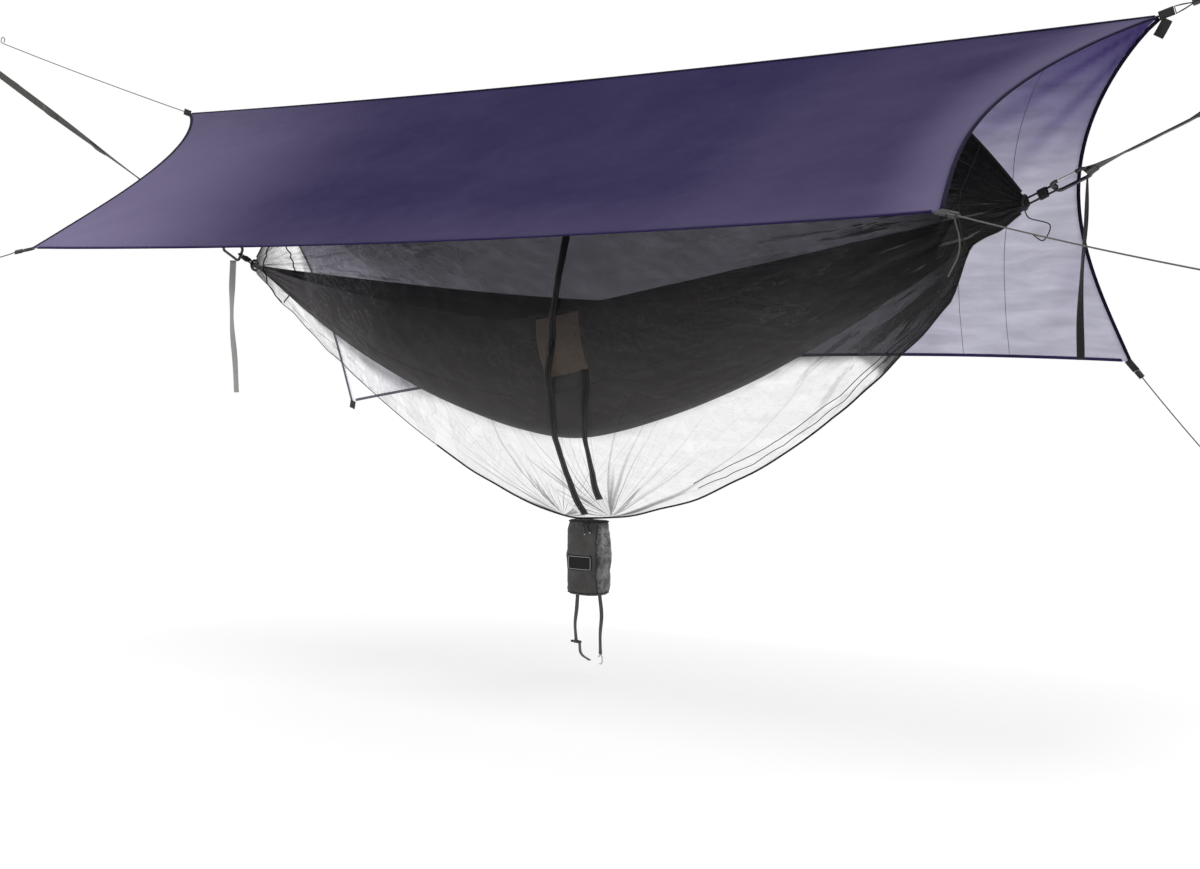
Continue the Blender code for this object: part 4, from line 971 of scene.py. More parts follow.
def tarpRelief(point, side, u, v):
    # folds that fan out from the four corners, then ripples, all dying away at the edges
    depth = 0
    for number, corner in enumerate((*ridgeEnds, *corners[side])):
        away = point - corner
        reach = away.length
        angle = atan2(away.z - away.y * side * 0.3, away.x) * tarpLook["folds"] * (1.6 if number < 2 else 1.0)
        swell = reach / (reach + 0.06) * exp(-reach / tarpLook["foldReach"])
        depth += tarpLook["foldDepth"] * swell * sin(angle + 1.7 * number + 1.3 * noise.noise(point * 4))
    x, y, z = point
    depth += tarpLook["ripple"] * wander(x * 1.7 + 3, y * 5 + 7, z * 5 + 1)
    depth += tarpLook["crinkle"] * wander(x * 9, y * 14, z * 14)
    return depth * min(1, 12 * min(v, 1 - v) + 0.15) * min(1, 14 * min(u, 1 - u) + 0.1)


def tarpGlow(u, v, side):
    # painted light and shade: how much light the cloth shows, pale at the ends on the near side, paler downwards on the
    # far side
    if side < 0:
        pale = 0.95 * eased((0.33 - u) / 0.33) * (0.4 + 0.6 * v) + 0.13 * eased((v - 0.7) / 0.3)
        return pale + 0.10 * eased((u - 0.72) / 0.1) + 0.4 * eased((u - 0.93) / 0.07)
    away = tarpPoint(u, v, side) - ridgeEnds[1]
    angle = atan2(away.z, -away.x)
    # painted shade in crease streaks that fan out from the right ridge end
    dark = 0.7 * max(0, wander(angle * 9, 4, 8)) * exp(-away.length / 0.6)
    return eased((v + 0.10) / 0.62) - dark - 0.10 * max(0, wander(away.x * 3, v * 5, 2))


def tarpPlace(u, v, side, step=0.002):
    point = tarpPoint(u, v, side)
    runU = tarpPoint(min(u + step, 1), v, side) - tarpPoint(max(u - step, 0), v, side)
    runV = tarpPoint(u, min(v + step, 1), side) - tarpPoint(u, max(v - step, 0), side)
    return point + runU.cross(runV).normalized() * tarpRelief(point, side, u, v)


def makeHem(side, end, u, rows=40):
    word = panels[side]["word"]
    shares = spaced(rows, tarpLook["edgeInset"], 1 - tarpLook["edgeInset"])
    edge = [tarpPlace(u, v, side) for v in shares]
    ways = []
    for row, v in enumerate(shares):
        run = (edge[min(row + 1, rows)] - edge[max(row - 1, 0)]).normalized()
        out = edge[row] - tarpPlace(abs(u - 0.01), v, side)
        ways.append((out - run * out.dot(run)).normalized())
    points = [p + w * tarpLook["hemOver"] for p, w in zip(edge, ways)]
    return keep(webbingPiece(points, ways, tarpLook["hemWidth"], tarpLook["hemThick"], 3), "tarpHem" + word + end,
                "paleBinding" if (side, end) == (1, "Left") else "binding", fixed, "binding",
                [f"tarp_binding_{word.lower()}_{end.lower()}"])


def makeRolls(side):
    # the rolled lower edge, its left part pale on the far side
    shares = spaced(110, 0.006, 0.994)
    edge = [tarpPlace(u, 1, side) for u in shares]
    ways = [(e - tarpPlace(u, 0.98, side)).normalized() for e, u in zip(edge, shares)]
    spots = [p - w * tarpLook["rollUnder"] for p, w in zip(edge, ways)]
    cut = tarpLook["paleColumns"] if side > 0 else 0
    word = panels[side]["word"]
    rolls = [("tarpRoll" + word, "tarp" + word, slice(cut, None))]
    if cut:
        rolls.append(("tarpRollPale", "paleBinding", slice(cut + 1)))
    return [keep(webbingPiece(spots[part], ways[part], tarpLook["rollWidth"], tarpLook["rollThick"], 3), name, paint,
                 fixed, "tarp_fabric") for name, paint, part in rolls]


def makeTarpSeams(side):
    seams = []
    for letter, u in zip("AB", tarpLook["seams"]):
        points = [tarpPlace(u - 0.1 * max(0, t - 0.45), 0.02 + 0.97 * t, side) - across * tarpLook["seamLift"]
                  for t in spaced(40)]
        seams.append(keepCord(points, tarpLook["seam"], "tarpSeam" + letter, fixed, paint="tarpThread",
                              slot="binding"))
    return seams


def makePanel(side):
    word, length, drop = panels[side]["word"], tarp["ridgeLength"], tarpLook["drop"]
    looks = {"glow": lambda u, v: tarpGlow(u, v, side),
             # whiter towards the lower left corner, read by the far panel only
             "bleach": lambda u, v: eased(1.25 - 2.3 * hypot(u * length, (1 - v) * drop))}
    sheet = clothSheet(tarpLook["cells"], lambda u, v: tarpPlace(u, v, side), (length, drop), tarp["thick"], looks)
    keep(sheet, "tarp" + word, "tarp" + word, fixed, "tarp_fabric", [f"tarp_{word.lower()}_panel"])
    trims = [makeHem(side, end, u) for end, u in (("Left", 0.0), ("Right", 1.0))] + makeRolls(side)
    if side > 0:
        trims += makeTarpSeams(side)
    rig.sheet(sheet, flat=(1.0, length), held="stretched", rests_on=["tab_ridge_left", "tab_ridge_right"],
             area=2.55, with_pieces=trims)


def ridgeTape(u, v):
    wing = abs(2 * v - 1)
    side = -1 if v < 0.5 else 1
    u = tarpLook["edgeInset"] + (1 - 2 * tarpLook["edgeInset"]) * u
    spot = tarpPoint(u, 0, side)
    if v == 0.5:
        return Vector((spot.x, 0, spot.z + tarpLook["tapeMiddle"]))
    down = tarpPoint(u, 0.05, side) - spot
    down.x = 0
    down.normalize()
    out = Vector((0, -side * down.z, side * down.y))
    return spot + out * tarpLook["tapeLift"] + down * (wing * tarpLook["wing"])


for sideSign in panels:
    makePanel(sideSign)
keep(clothSheet((120, 4), ridgeTape, (tarp["ridgeLength"], tarpLook["tapeWidth"]), tarp["thick"],
                {"edge": lambda u, v: 0.0}), "tarpRidgeTape", "binding", fixed, "binding", ["tarp_ridge_tape"])
print("tarp made")

# hammock bed

bed = {"depth": 0.55, "tipRadius": 0.0106, "inset": 0.0004, "thick": 0.001, "pleat": 0.006, "pleats": 13,
       "cells": (260, 120), "cloth": (2.9, 1.5), "sideShare": 0.22, "soft": 0.0035, "crinkle": 0.0012,
       "rimWave": 0.0045}
bedSides = {"near": {"half": 0.30, "drop": 0.233, "power": 1.2}, "far": {"half": 0.24, "drop": 0.16, "power": 1.3}}


def closeness(x):
    return min(abs(x) / hang["half"], 1)


def endwards(u, half):
    # from one end to the other, with the steps closer together at both
    return half * sin(pi * (u - 0.5))


def bedPoint(x, w, out=0.0):
    # x along the hammock, w from the near rim over the bottom to the far rim
    s = closeness(x)
    base = hangHeight(x)
    look = bedSides["near" if w < 0.5 else "far"]
    rim = base - look["drop"] * (1 - s ** look["power"])
    bottom = base - bed["depth"] * (1 - s ** 1.55)
    turn = pi * (w - 0.5)
    gathered = max(0, (s - 0.8) / 0.2)
    tip = bed["tipRadius"] * gathered
    crease = bed["pleat"] * s ** 7 * (1 - gathered * 0.72) * cos(2 * pi * bed["pleats"] * w
                                                                + 2 * wander(x * 2, w * 3, 0))
    rimPull = exp(-min(w, 1 - w) / 0.045) * (0.3 + s)
    fine = bed["soft"] * wander(x * 2.2, w * 13, 4) + bed["crinkle"] * wander(x * 7, w * 40, 9)
    fine += bed["rimWave"] * rimPull * sin(x * 23 + 4 * wander(x * 3, 0, w * 3))
    off = out + crease + fine * (1 - gathered)
    width = hypot(look["half"] * (1 - s * s) ** 1.27, tip) + off
    depth = hypot(rim - bottom, tip) + off
    return Vector((x, width * sin(turn), rim + (tip * 0.6 - depth) * cos(turn)))


bedLines = {
    "Seam": {"shares": (bed["sideShare"], 1 - bed["sideShare"]), "reach": 0.97, "steps": 90, "out": 0.0008,
             "radius": 0.0011, "paint": "blackCord", "slot": "black_cord"},
    "Rim": {"shares": (0.0, 1.0), "reach": 0.985, "steps": 120, "out": 0.0, "radius": 0.0024, "paint": "hammock",
            "slot": "hammock_fabric"},
}


def makeHammock():
    half = hang["half"] - bed["inset"]
    sheet = clothSheet(bed["cells"], lambda u, v: bedPoint(endwards(u, half), v), bed["cloth"], bed["thick"])
    keep(sheet, "hammockBed", "hammock", swung, "hammock_fabric",
         ["hammock_near_side_panel", "hammock_centre_panel", "hammock_far_side_panel", "hammock_gather_left",
          "hammock_gather_right"])
    trims = []
    for kind, line in bedLines.items():
        for word, w in zip(("Near", "Far"), line["shares"]):
            points = [bedPoint(endwards(t, half * line["reach"]), w, line["out"]) for t in spaced(line["steps"])]
            trims.append(keepCord(points, line["radius"], "hammock" + kind + word, swung, paint=line["paint"],
                                  slot=line["slot"]))
    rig.sheet(sheet, flat=(1.02, 2.87), held="hung", rests_on=["hammock_loop_left", "hammock_loop_right"], area=1.72,
             with_pieces=trims)


pocket = {"x": 0.155, "width": 0.13, "depth": 0.175, "thick": 0.0012, "first": 0.012, "last": 0.17, "off": 0.0042,
          "puff": 0.0035, "crinkle": 0.0012, "edge": 0.0012, "side": 0.0011}


def pocketPoint(u, v):
    x = pocket["x"] + (u - 0.5) * pocket["width"]
    puff = pocket["puff"] * sin(pi * u) * sin(pi * v) + pocket["crinkle"] * wander(u * 6, v * 7, 2)
    return bedPoint(x, pocket["first"] + (pocket["last"] - pocket["first"]) * v, pocket["off"] + puff)


def makePocket():
    flat = (pocket["width"], pocket["depth"])
    sheet = clothSheet((40, 50), pocketPoint, flat, pocket["thick"])
    keep(sheet, "hammockPocket", "pocket", swung, "pocket_fabric", ["hammock_pocket"])
    lines = {"Top": [(t, 0.01) for t in spaced(20)], "Bottom": [(t, 0.99) for t in spaced(20)],
             "Left": [(0.01, t) for t in spaced(20)], "Right": [(0.99, t) for t in spaced(20)]}
    trims = [keepCord([pocketPoint(*spot) for spot in line], pocket["edge" if name in ("Top", "Bottom") else "side"],
                      "pocketTrim" + name, swung, paint="pocket", slot="pocket_fabric")
             for name, line in lines.items()]
    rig.sheet(sheet, flat=flat, held="hung", rests_on=["hammock_near_side_panel"], with_pieces=trims)


loops = {"cord": 0.0025, "slack": 0.0008, "whips": (0.30, 0.42, 0.92), "whipCord": 0.0021, "whipLength": 0.011,
         "whipWide": 0.0122, "whipDeep": 0.0056}


def makeLoop(side):
    along, upward, sideways, bar = strapWays(side)
    cord = loops["cord"]
    bend = hang["rod"] + loops["slack"] + cord
    outer = hang["rod"] + hang["gap"] + cord
    inner = hang["loop"] - hang["gap"] - cord - (bend + cord) * abs(sideways.x / along.x)
    points = [point for middle, start in ((outer - bend, pi / 2), (bend - inner, -pi / 2))
              for point in arc(bar + along * middle, along * bend, sideways * bend, start, start - pi)]
    keepCord(points, cord, "hammockLoop" + side.title(), swung, "hammock_loop_" + side, closed=True)
    for letter, share in zip("ABC", loops["whips"]):  # the loop is whipped near the ring and at the cloth
        knot = bar - along * (hang["loop"] * share)
        turns = arc(knot, sideways * loops["whipWide"], upward * loops["whipDeep"], 0, 6 * pi, 60)
        wraps = [turn + along * (loops["whipLength"] * (step / 60 - 0.5)) for step, turn in enumerate(turns)]
        keepCord(wraps, loops["whipCord"], "loopWhipping" + side.title() + letter, swung)


makeHammock()
makePocket()
makeLoop("left")
makeLoop("right")
for nodeName, paint in (("carabiner_left", "darkAlloy"), ("carabiner_right", "darkAlloy"),
                        ("carabiner_gate_left", "alloy"), ("carabiner_gate_right", "alloy"), ("tail_clip", "alloy")):
    for holder in frame["nodes"][nodeName].material_slots:
        holder.material = made[paint]
print("hammock made")

# insect net

net = {"nearHalf": 0.40, "farHalf": 0.345, "top": 0.30, "slope": 0.285, "bottom": 0.77, "seamHalfGap": 0.0012,
       "endRadius": 0.0176, "endInset": 0.0006, "cells": (330, 130), "cloth": (2.7, 1.25), "sackX": 0.04,
       "sackLeft": -0.045, "sackRight": 0.115, "sackMiddle": 0.035, "sliderX": 0.201, "sliderShare": 0.6,
       "calm": 0.06, "dip": 0.0028, "shelf": 0.075, "shelfFrom": 1.1, "ragged": 0.007, "uneven": 0.004,
       "fold": 0.012, "fan": 0.006, "endFold": 0.0075, "crumple": 0.006, "crinkle": 0.0035}
netHalf = hang["half"] - net["endInset"]


def netSection(x):
    # height of the ridge and of the bottom hem at x
    s = closeness(x)
    base, radius = hangHeight(x), net["endRadius"]
    slope = min((hang["half"] - abs(x)) / net["slope"], 1)
    top = base + radius + (net["top"] - radius) * (1 - (1 - slope) ** 1.3)
    bottom = base - radius - (net["bottom"] - radius) * (1 - s ** (1.45 if x < 0 else 2.08))
    if x > net["shelfFrom"]:  # drawn up in a shelf towards the right end
        bottom += net["shelf"] * eased((x - net["shelfFrom"]) / 0.055) * clamped(1 - (x - 1.16) / 0.125)
    ragged = net["ragged"] * max(0, (s - 0.6) / 0.4) ** 0.5 * sin(x * 47) * sin(x * 13 + 1) * min(1, (1 - s) * 20)
    uneven = net["uneven"] * wander(x * 9, 2, 5) * min(1, (1 - s) * 8) * min(1, abs(x - net["sackX"]) * 8)
    return top, bottom + ragged + uneven


def netPoint(x, v, side, fine=1.0):
    # v runs from the ridge down to the bottom hem
    top, bottom = netSection(x)
    s = closeness(x)
    narrow = 1 - s * s
    width = hypot(net["nearHalf" if side < 0 else "farHalf"] * narrow, net["endRadius"])
    bulge = max(sin(pi * min(v, 1) ** 1.5), 0)
    fold = net["fold"] * sin(pi * clamped((s - 0.3) / 0.65)) * bulge * sin(2 * pi * 4 * s)
    z = top + (bottom - top) * v
    dx, dz = x - net["sackX"], z + net["bottom"]
    reach, angle = hypot(dx, dz), atan2(dz, dx)
    soft = Vector((x * 3, v * 4, side * 5))
    fan = net["fan"] * exp(-reach / 0.3) * min(1, reach / 0.06) * sin(angle * 26 + 3 * noise.noise(soft))
    endFolds = net["endFold"] * max(0, (s - 0.62) / 0.38) ** 0.8 * sin(2 * pi * 8 * v + 3 * noise.noise(soft * 1.3))
    crumple = net["crumple"] * wander(x * 7, v * 9, side * 3) + net["crinkle"] * wander(x * 19, v * 24, side)
    # the near net lies smooth and a little lower where the zip slider travels
    aside = ((x - net["sliderX"]) / net["calm"]) ** 2 + ((v - net["sliderShare"]) / net["calm"]) ** 2
    still = exp(-aside ** 2) if side < 0 else 0
    rough = bulge ** 0.5 * (fan + endFolds * (0.35 + narrow) + crumple * min(1, narrow * 4))
    y = net["seamHalfGap"] + width * bulge + fold + fine * (1 - still) * rough - net["dip"] * still
    return Vector((x, side * max(y, net["seamHalfGap"]), z))


# where each side turns from close to sheer, painted glare and shade: closed where the dark bed lies behind, sheer where
# the bright backdrop does; share of the way down, by x
glareLines = {
    -1: ((-1.16, -0.1), (-1.10, 0.24), (-1.04, 0.35), (-0.9, 0.49), (-0.75, 0.685), (-0.66, 0.71), (-0.58, 0.725),
         (-0.49, 0.735), (-0.40, 0.735), (-0.30, 0.73), (-0.15, 0.715), (0.0, 0.745), (0.10, 0.775), (0.30, 0.805),
         (0.67, 0.808), (0.80, 0.833), (0.90, 0.905), (0.96, 1.1)),
    1: ((-1.18, -0.1), (-1.14, 0.20), (-1.09, 0.35), (-1.04, 0.42), (-0.96, 0.50), (-0.83, 0.62), (-0.755, 0.70),
        (-0.67, 0.745), (-0.58, 0.755), (-0.49, 0.75), (-0.40, 0.71), (-0.20, 0.64), (0.0, 0.592), (0.20, 0.595),
        (0.40, 0.625), (0.58, 0.69), (0.75, 0.775), (0.83, 0.84), (0.90, 0.905), (0.96, 1.1)),
}


def sheerFrom(x, side):
    line = glareLines[side]
    if x <= line[0][0]:
        return line[0][1]
    for (x0, v0), (x1, v1) in zip(line, line[1:]):
        if x <= x1:
            return v0 + (v1 - v0) * (x - x0) / (x1 - x0)
    return line[-1][1]


def netRules(side):
    # what the net's material reads at each x and v, then the two maps that its folds follow

    # painted glare and shade: closer at the right end under the ridge, at the left end closer at the top and thinner
    # lower down; the gathered ends close up
    def closeWeave(x, v):
        s = closeness(x)
        full = 0.64
        if x < -0.45:
            full += min(1, (-x - 0.45) / 0.4) * (0.09 - 0.24 * eased((v - 0.30) / 0.24))
        if x > 0.93:
            full += 0.27 * min(1, (x - 0.93) / 0.22)
        thin = 0.052 + 0.04 * max(0, (s - 0.55) / 0.45)
        cloth = thin + (full - thin) * eased(0.5 + (sheerFrom(x, side) - v) / 0.05)
        return max(cloth, 0.8 * max(0, (s - 0.91) / 0.09))

    # painted light and shade: the net's lit tone, lighter towards the left end and darker towards the right end
    def tint(x, v):
        return 0.40 + 0.60 * eased((-x - 0.30) / 0.55) - 0.36 * eased((x - 0.80) / 0.34)

    def fromSack(x, v):
        top, bottom = netSection(x)
        height = (top - bottom) * (1 - v)
        run = net["sackLeft"] - x if x < net["sackMiddle"] else x - net["sackRight"]
        return atan2(height, run), hypot(height, run)

    def bunched(x, v):
        angle, reach = fromSack(x, v)
        drawn = 1.2 * exp(-reach / 0.2) + 0.75 * exp(-angle / 0.10) * exp(-reach / 1.1)
        return (1 if side < 0 else 0.35) * min(1.0, drawn)

    def endwise(x, v):
        return clamped((closeness(x) - 0.42) / 0.35) ** 1.3

    def crinkle(x, v):
        return 0.55 + 0.45 * closeness(x) + 1.2 * eased((-x - 0.15) / 0.6) * eased((v - 0.1) / 0.5)

    def rays(x, v):
        angle, reach = fromSack(x, v)
        return angle * 1.45 + (7 if x < net["sackMiddle"] else 0) + side * 3, reach * 0.15

    def ends(x, v):
        top, bottom = netSection(x)
        height = top + (bottom - top) * v - hangHeight(hang["half"] if x > 0 else -hang["half"])
        run = hang["half"] - abs(x) + 0.02
        return atan2(height, run) * 2.2 + (5 if x > 0 else 0) + side, hypot(height, run) * 0.45

    def onNet(*rules):
        return {rule.__name__: lambda u, v, rule=rule: rule(endwards(u, netHalf), v) for rule in rules}

    return onNet(closeWeave, tint, bunched, endwise, crinkle), onNet(rays, ends)


def makeNetSide(side, word):
    sheet = clothSheet(net["cells"], lambda u, v: netPoint(endwards(u, netHalf), v, side), net["cloth"], 0,
                       *netRules(side))
    return keep(sheet, "net" + word, "insectNet", swung, "net_mesh", [f"net_{word.lower()}_side"])


netTrim = {"hem": 0.0025, "hemInset": 0.006, "hemSink": 0.0004, "thinFrom": -0.52, "thinShare": 0.55, "cuff": 0.0156,
           "cuffCord": 0.0037, "cuffOut": 0.0043, "cuffWave": 0.045, "pullCord": 0.0014, "seam": 0.0021,
           "seamOff": 0.0012, "seamLean": 0.03, "fold": 0.0010, "foldOff": 0.0008, "pullUnder": 0.004,
           "pullSteps": ((0.012, 0, -0.0175), (0.06, 0, -0.035), (0.045, 0, -0.07), (0.02, 0, -0.056))}


def makeNetHem(name, edge, way):
    line = [Vector((x, 0, netSection(x)[edge]))
            for x in (endwards(t, netHalf - netTrim["hemInset"]) for t in spaced(160))]
    off = way * (netTrim["hem"] + hang["gap"] - netTrim["hemSink"])
    points = [middle + across.cross(after - before).normalized() * off
              for before, middle, after in zip([line[0], *line], line, [*line[1:], line[-1]])]
    cut = next(i for i, p in enumerate(points) if p.x > netTrim["thinFrom"]) if name == "Bottom" else 0
    hems = [keepCord(points[cut:], netTrim["hem"], "netHem" + name, swung, f"net_{name.lower()}_hem")]
    if cut:  # the left part is thinner and pale
        hems.append(keepCord(points[:cut + 1], netTrim["hem"] * netTrim["thinShare"], "netHemLeft", swung,
                             paint="netEdge"))
    return hems


def makeCuff(side):
    hub = tips[side][0] + tips[side][1].normalized() * netTrim["cuffOut"]
    radius = netTrim["cuff"]
    ring = [hub + (spot - hub) * (1 + netTrim["cuffWave"] * sin(pi * step / 4))
            for step, spot in enumerate(arc(hub, across * radius, up * radius, 0, 2 * pi, 120)[:-1])]
    cuff = keepCord(ring, netTrim["cuffCord"], "netCuff" + side.title(), swung, "net_cuff_" + side, closed=True)
    if side == "right":
        points = roundRoute(hub - up * (radius + netTrim["pullUnder"] + hang["gap"]), *netTrim["pullSteps"])
        pull = keepCord(points, netTrim["pullCord"], "netDrawcord", swung, "net_drawcord")
        looseEnd(pull, points, netTrim["pullCord"] * 2, "bare", "hanging")
    return cuff


def makeNetSeam(end, share, side, word):
    # where the end panel is sewn on
    lean = netTrim["seamLean"] if share > 0 else -netTrim["seamLean"]
    points = [netPoint(share * hang["half"] - lean * (v - 0.5), v, side) + across * (side * netTrim["seamOff"])
              for v in spaced(50, 0.01, 0.99)]
    return keepCord(points, netTrim["seam"], "netSeam" + word + end, swung)


def makeNetFold(letter, v, number):
    # a loose fold beside the bottom hem
    points = [netPoint(x, v - 0.020 * abs(wander(x * 6, number * 9, 1)), -1) - across * netTrim["foldOff"]
              for x in spaced(139, 0.42, 1.20 - 0.16 * number)]
    return keepCord(points, netTrim["fold"], "netFold" + letter, swung)


def makeNet():
    faces = ((-1, "Near"), (1, "Far"))
    near, far = [makeNetSide(side, word) for side, word in faces]
    trims = makeNetHem("Ridge", 0, -1) + makeNetHem("Bottom", 1, 1)
    trims += [makeCuff(side) for side in ("left", "right")]
    trims += [makeNetSeam(end, share, side, word) for end, share in (("Left", -0.915), ("Right", 0.905))
              for side, word in faces]
    trims += [makeNetFold("AB"[number], v, number) for number, v in enumerate((0.986, 0.968))]
    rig.sheet(near, flat=(1.3, 2.7), held="hung", rests_on=["net_cuff_left", "net_cuff_right"], area=2.3,
             with_pieces=trims)
    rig.sheet(far, flat=(1.3, 2.7), held="hung", rests_on=["net_cuff_left", "net_cuff_right"], area=2.2)


zips = {"width": 0.022, "thick": 0.0011, "shares": (0.05, 0.99), "flapShares": (0.65, 0.95), "bow": 0.18,
        "lean": 0.035, "middle": 0.6, "flapTop": 0.305, "flapLow": 0.145, "lift": 0.0022, "under": 0.0039,
        "flat": 0.075, "teethOut": 0.0014, "teethAside": 0.0012, "teeth": 0.0008}


def zipX(v):
    return zips["bow"] * sin(pi * v ** 1.4) + zips["lean"] * v


def flapX(v):
    first, last = zips["flapShares"]
    t = max(v - first, 0) / (last - first)
    return zips["flapTop"] + (zips["flapLow"] - zips["flapTop"]) * t ** 1.5


def boxMiddle(node):
    low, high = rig.box(node)
    return (Vector(low) + Vector(high)) / 2


def sliderPlace():
    # middle of the CAD slider, the way it slides and outwards
    axis = Vector(next(j for j in frame["joints"] if j["name"] == "zip_slide")["axis"]).normalized()
    return boxMiddle("zip_slider"), axis, facing(alongX.cross(axis), -across)


def zipSpot(rule, v):
    # a point of the tape and outwards, straight and flat where the slider travels
    x = rule(v)
    down = netPoint(x, v + 0.01, -1, 0) - netPoint(x, v - 0.01, -1, 0)
    out = facing(alongX.cross(down), -across)
    point = netPoint(x, v, -1) + out * max(zips["lift"], zips["lift"] + 0.004 * wander(v * 14, 3, 1))
    still = exp(-((v - zips["middle"]) / zips["flat"]) ** 4) if rule is zipX else 0
    if still:
        middle, axis, outward = sliderPlace()
        seat = middle - outward * zips["under"]
        point = point.lerp(seat + axis * (point - seat).dot(axis), still)
        out = out.lerp(outward, still).normalized()
    return point, out, still


def makeZipTape(name, rule, shares, steps, node, twist):
    points, ways, outs = [], [], []
    for v in spaced(steps, *shares):
        point, out, still = zipSpot(rule, v)
        turn = twist * sin(v * 17) * 0.35 * (1 - still)
        points.append(point)
        ways.append((alongX * cos(turn) + out * sin(turn)).normalized())
        outs.append(out)
    keep(webbingPiece(points, ways, zips["width"], zips["thick"], 6), name, "zipTape", swung, "zip_tape", [node])
    # the coil zigzags six times between two points
    finer = [[a.lerp(b, k / 6) for a, b in zip(line, line[1:]) for k in range(6)] for line in (points, outs, ways)]
    teeth = [p + o * zips["teethOut"] + w * (zips["teethAside"] * (1 if i % 2 else -1))
             for i, (p, o, w) in enumerate(zip(*finer))]
    keepCord(teeth, zips["teeth"], name + "Teeth", swung, slot="zip_tape")


makeNet()
makeZipTape("zipTape", zipX, zips["shares"], 90, "zip_tape", 0.6)
makeZipTape("zipFlap", flapX, zips["flapShares"], 40, "zip_flap", 1.2)
print("net made")

# zip slider and pull

slider = {"length": 0.018, "width": 0.012, "thick": 0.005}
pull = {"length": 0.032, "width": 0.008, "thick": 0.002}
# blocks in shares of length, width and thickness: size, place and bevel
sliderBlocks = (((1, 0.12, 0.52), (0, -0.42, -0.23), 0.0004), ((1, 0.12, 0.52), (0, 0.42, -0.23), 0.0004),
                ((1, 1, 0.3), (0, 0, 0.16), 0.0006), ((0.6, 0.28, 0.16), (0, 0, 0.38), 0.0004))
pullBlocks = (((0.66, 1, 1), (0.16, 0, 0), 0.0008), ((0.4, 0.42, 0.8), (-0.3, 0, 0), 0.0006))


def joinedBlocks(whole, blocks, main):
    scale = (whole["length"], whole["width"], whole["thick"])
    pieces = []
    for size, place, bevel in blocks:
        piece = softened(block([a * b for a, b in zip(size, scale)]), bevel)
        piece.data.transform(Matrix.Translation([a * b for a, b in zip(place, scale)]))
        pieces.append(piece)
    grab(*pieces, pieces[main])
    bpy.ops.object.join()
    return bpy.context.object


def makeSlider():
    middle, down, out = sliderPlace()
    flatTurn = Matrix.Rotation(pi / 2, 4, "X")
    shell = joinedBlocks(slider, sliderBlocks, 2)
    settle(shell, frameAt(middle, down, out) @ flatTurn)
    keep(shell, "zipSlider", "darkAlloy", "zip_slider", "alloy", ["zip_slider"])
    tongue = joinedBlocks(pull, pullBlocks, 0)
    settle(tongue, frameAt(boxMiddle("zip_pull"), down, out) @ flatTurn)
    keep(tongue, "zipPull", "blackPlastic", "zip_pull", "black_plastic", ["zip_pull"])


makeSlider()
print("zip slider made")

# stuff sack under the hem

sack = {"x": 0.04, "lip": 0.011, "width": 0.115, "depth": 0.066, "height": 0.195, "around": 0.36, "panel": 0.009,
        "panelEnd": 0.006, "padding": 0.6, "rows": 56, "turns": 120, "hub": 0.002, "corner": 5.0, "seam": 0.0011,
        "seamOff": 0.0006, "tie": 0.0024, "lace": 0.0017}
bag = {"sag": 0.0030, "crinkle": 0.0016, "pleat": 0.0018, "pull": 0.0011, "hang": 0.003, "wave": 0.002}
sackCords = {"First": {"x": 0.024, "reach": 0.026, "swing": 0.008},
             "Second": {"x": 0.012, "reach": 0.031, "swing": 0.002}}
sackLeft, sackRight = sack["x"] - sack["width"] / 2, sack["x"] + sack["width"] / 2
split = sackRight - sack["panel"]
knot = boxMiddle("sack_knot")
sackLow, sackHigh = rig.box("sack_body")
crown, low = sackHigh[2] + sack["lip"], sackLow[2]


def sackPoint(turn, c, grow=0.0):
    # a soft box section, narrower at the gathered top and rounder at the bottom
    full = min(1, (1 - c) / 0.16)
    rounded = sqrt(max(0, 1 - (1 - min(1, c / 0.10)) ** 2))
    swell = sin(pi * c)
    halfX = sack["width"] / 2 * (0.91 + 0.09 * full ** 0.6) * (0.90 + 0.10 * rounded) * (1 + 0.035 * swell) + grow
    halfY = sack["depth"] / 2 * (0.62 + 0.38 * full ** 0.7) * (0.70 + 0.30 * rounded) * (1 + 0.06 * swell) + grow
    a, b = cos(turn), sin(turn)
    reach = (abs(a) ** sack["corner"] + abs(b) ** sack["corner"]) ** (-1 / sack["corner"])
    x, y = a * reach * halfX, b * reach * halfY
    sag = bag["sag"] * wander(x * 30, y * 30, c * 5) + bag["crinkle"] * wander(x * 75, y * 75, c * 14)
    pleats = bag["pleat"] * (1 - full) * sin(turn * 22)
    pulled = bag["pull"] * sin((x * 60 + c * 9) * 1.6 + 2 * wander(x * 20, y * 20, c * 4)) * (0.4 + 0.6 * full)
    scale = 1 + (sag + pleats + pulled) / max(hypot(x, y), 0.01)
    z = low + (crown - low) * c - bag["hang"] * sin(pi * (x / sack["width"] + 0.5)) * (1 - c)
    return Vector((sack["x"] + x * scale, y * scale, z))


def sackRing(c, count, grow=0.0):
    return [sackPoint(2 * pi * t / count, c, grow) for t in range(count)]


